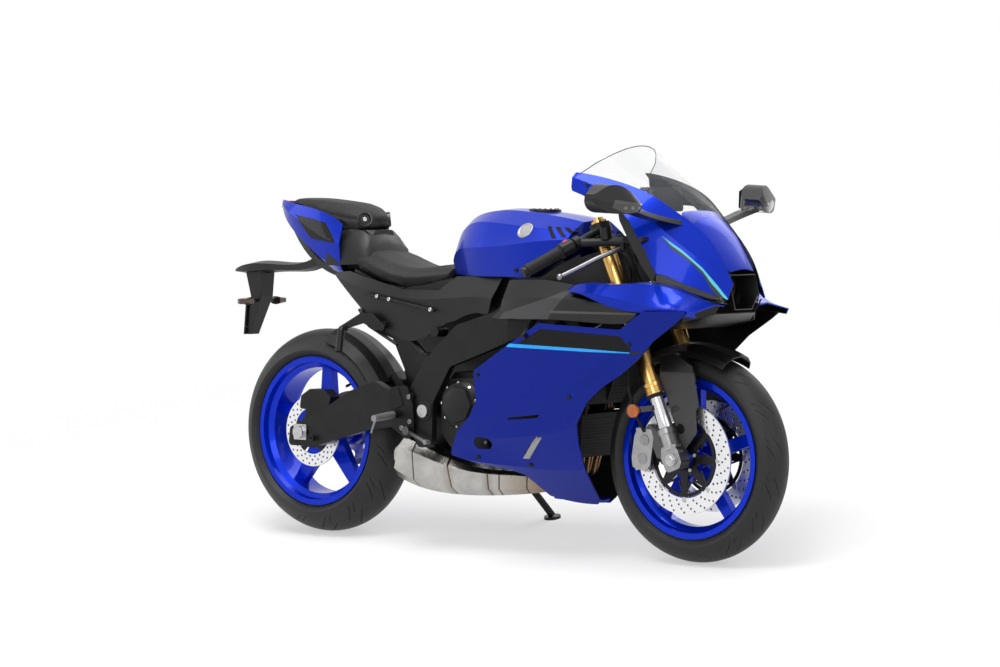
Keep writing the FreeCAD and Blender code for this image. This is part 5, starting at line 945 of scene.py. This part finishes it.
# Gloss black discs in the fork guards' holes: painted shade for what is seen through them.
shape = bmesh.new()
for side in (-1, 1):
    for px, pz in ((697, 438), (712, 386)):
        outline = [(0, 1.5), (8, 1), (14.5, 2.2), (14.5, -2), (0, -2)]
        lathe(shape, (px, side * 86, pz), (0, side, 0), outline, 32)
piece("guard_hole_shades", shape, gloss_black, body="steering")
RAILS = ([(-430, 146, 748), (-300, 154, 728), (-150, 152, 703)],
         [(-466, 134, 700), (-420, 142, 652), (-300, 148, 598)])
rails, bolts = bmesh.new(), bmesh.new()
for side in (-1, 1):
    for path in RAILS:
        for start, end in zip(path, path[1:]):
            bar(rails, beside(side, start), beside(side, end), 5, sides=12)
    for spot in ((-372, 158, 742), (-322, 160, 734), (-160, 158, 706)):
        bolt(bolts, beside(side, spot), (0, side, 0.2), 6, 4)
piece("cover_ridges", rails, satin_black)
piece("cover_bolts", bolts, bright_steel)

# Footrests. Milled alloy pegs on black hanger plates, screwed to the frame, each with a silver feeler
# rod below its tip.
PLATE_HALF = 206
peg_alloy = Finish("peg_alloy", Metallic=0.7)
worn = peg_alloy.noise(20, 4)
peg = abs(peg_alloy.upright()[1]).step(PLATE_HALF, 3)
peg_alloy.tone(peg, (0.012, 0.012, 0.013), (0.26, 0.26, 0.265), Roughness=worn * 0.2 + 0.28)
peg_alloy.relief(peg_alloy.noise(1.6, 3), 0.06, 1.8)
paint(peg_alloy, "footrests")
feelers = bmesh.new()
for side in (-1, 1):
    bar(feelers, (-268, side * 284, 380), (-282, side * 288, 340), 3.6, 3.0)
    for px, pz in ((-214, 372), (-218, 446), (-246, 352)):
        bolt(feelers, (px, side * 189, pz), (0, side, 0), 7.5, 4)
    bolt(feelers, (-170, side * 180, 405), (0, side, 0), 14, 2)
piece("footrest_screws", feelers, satin_alloy)

# Seats. Moulded foam under matt black vinyl, stretched over the pan and stapled below, with a sewn
# seam between the top and the side panels; the pillion pad is a tall hump on the tail.
vinyl = Finish("seat_vinyl", Specular_IOR_Level=0.25)
worn = vinyl.noise(90, 4)
at = vinyl.node("TexCoord", {}, out="Object")
pores = vinyl.node("TexVoronoi", {"Vector": at, "Scale": 900}, feature="F1")
vinyl.tone(worn, (0.011, 0.011, 0.012), (0.018, 0.018, 0.019), Roughness=worn * 0.12 + 0.55)
vinyl.relief(pores + worn * 0.5, 0.1)


def evaluated(thing):
    """The mesh of an object with its modifiers worked in."""
    return bpy.data.meshes.new_from_object(thing.evaluated_get(bpy.context.evaluated_depsgraph_get()))


def eased(shape, rounds):
    """Smooths a mesh a few times over, and brings its normals up to date."""
    for _ in range(rounds):
        bmesh.ops.smooth_vert(shape, verts=shape.verts, factor=0.5, use_axis_x=True, use_axis_y=True,
                              use_axis_z=True)
    shape.normal_update()


def cushion(name, node, seam, voxel=0.0055, shrink=0.003, cap=0.006, stitch=9):
    """Swells a foam pad from its CAD solid by cloth under pressure, then draws its seam in."""
    shape = bmesh.new()
    shape.from_mesh(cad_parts[node].data)
    bmesh.ops.remove_doubles(shape, verts=shape.verts, dist=0.00005)
    mesh = bpy.data.meshes.new(name)
    shape.to_mesh(mesh)
    shape.free()
    thing = bpy.data.objects.new(name, mesh)
    bpy.context.scene.collection.objects.link(thing)
    remesh = thing.modifiers.new("remesh", "REMESH")
    remesh.mode, remesh.voxel_size = "VOXEL", voxel
    thing.data = evaluated(thing)
    thing.modifiers.clear()
    shape = bmesh.new()
    shape.from_mesh(thing.data)
    eased(shape, 3)
    for vert in shape.verts:
        vert.co -= vert.normal * shrink
    shape.to_mesh(thing.data)
    shape.free()
    before = [vert.co.copy() for vert in thing.data.vertices]
    cloth = thing.modifiers.new("cloth", "CLOTH")
    cloth.settings.use_pressure, cloth.settings.uniform_pressure_force = True, 4
    cloth.settings.effector_weights.gravity = 0
    cloth.point_cache.frame_start, cloth.point_cache.frame_end = 1, 20
    for number in range(1, 21):
        bpy.context.scene.frame_set(number)
    thing.data = evaluated(thing)
    thing.modifiers.clear()
    bpy.context.scene.frame_set(1)
    for vert, start in zip(thing.data.vertices, before):
        moved = vert.co - start
        if moved.length > cap:
            vert.co = start + moved.normalized() * cap
    shape = bmesh.new()
    shape.from_mesh(thing.data)
    eased(shape, 1)
    for vert in shape.verts:
        line = seam(home @ vert.co * 1000)
        if line < stitch:
            vert.co -= vert.normal * 0.0026 * (math.cos(line / stitch * math.pi) + 1) / 2
    shape.to_mesh(thing.data)
    shape.free()
    for face in thing.data.polygons:
        face.use_smooth = True
    smoother = thing.modifiers.new("smooth", "SUBSURF")
    smoother.levels = smoother.render_levels = 1
    thing.data.materials.clear()
    thing.data.materials.append(vinyl.material)
    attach(thing, "chassis")
    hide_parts(node)


def between(value, points):
    """The height of a broken line of (place, height) points, which run upwards, at one place."""
    for (x0, h0), (x1, h1) in zip(points, points[1:]):
        if value <= x1:
            return h0 + (h1 - h0) * max(0, value - x0) / (x1 - x0)
    return points[-1][1]


def rider_seam(spot):
    """How far a point of the rider's seat lies from the seam along both edges of its top."""
    if spot.z < between(spot.x, [(-500, 850), (-400, 815), (-300, 795), (-158, 805)]):
        return 99
    return abs(abs(spot.y) - between(spot.x, [(-500, 92), (-400, 102), (-300, 96), (-220, 78), (-158, 56)]))


def pillion_seam(spot):
    """How far a point of the pillion pad lies from the seam round it."""
    return abs(spot.z - between(spot.x, [(-826, 1022), (-720, 1012), (-640, 992), (-560, 976), (-486, 966)]))


cushion("rider_cushion", "rider_seat", rider_seam)
cushion("pillion_cushion", "pillion_seat", pillion_seam)
pan = level_rows((-158, 60, 800), (-230, 96, 778), (-300, 116, 768), (-400, 126, 784), (-500, 114, 822))
piece("seat_pan", panel(pan, 26), grained)
hump = []
for px, top, half, low in ((-462, 896, 88, 842), (-478, 924, 92, 838), (-506, 944, 96, 836),
                           (-560, 952, 104, 834), (-620, 952, 106, 832)):
    right_half = [(px, -half - 14, low), (px, -half, (top + low) / 2 + 12), (px, -half * 0.72, top - 6)]
    hump.append([*right_half, (px, 0, top), *((px, -py, pz) for _, py, pz in right_half[::-1])])
hump.insert(0, [(px + 14, py * 0.96, 838) for px, py, _ in hump[0]])
piece("seat_back", panel(hump), grained)
recess, lock = bmesh.new(), bmesh.new()
for side in (-1, 1):
    facing, spot = beside(side, (0.72, 0.66, 0.1)).normalized(), beside(side, (-512, 56, 973))
    outline = [(0, -1), (15, -1), (18, 4), (22, 4.5), (23, 3), (23, -10), (0, -10)]
    lathe(recess, spot, facing, outline, 48)
    bolt(lock, spot - facing, facing, 6.5, 4)
piece("seat_recess", recess, gloss_black)
piece("seat_locks", lock, bright_steel)

# Tail. A red lamp closes the tail, moulded with upright prisms, over the black plate hanger, whose
# place for a plate is bare.
red_lens = Finish("red_lens", Coat_Weight=0.8, Roughness=0.1)
prisms = abs(red_lens.upright()[1].repeat(6))
red_lens.tone(prisms / 3, (0.16, 0.002, 0.002), (0.45, 0.008, 0.006))
red_lens.relief(prisms, 0.4, 1.0)
paint(red_lens, "tail_light")
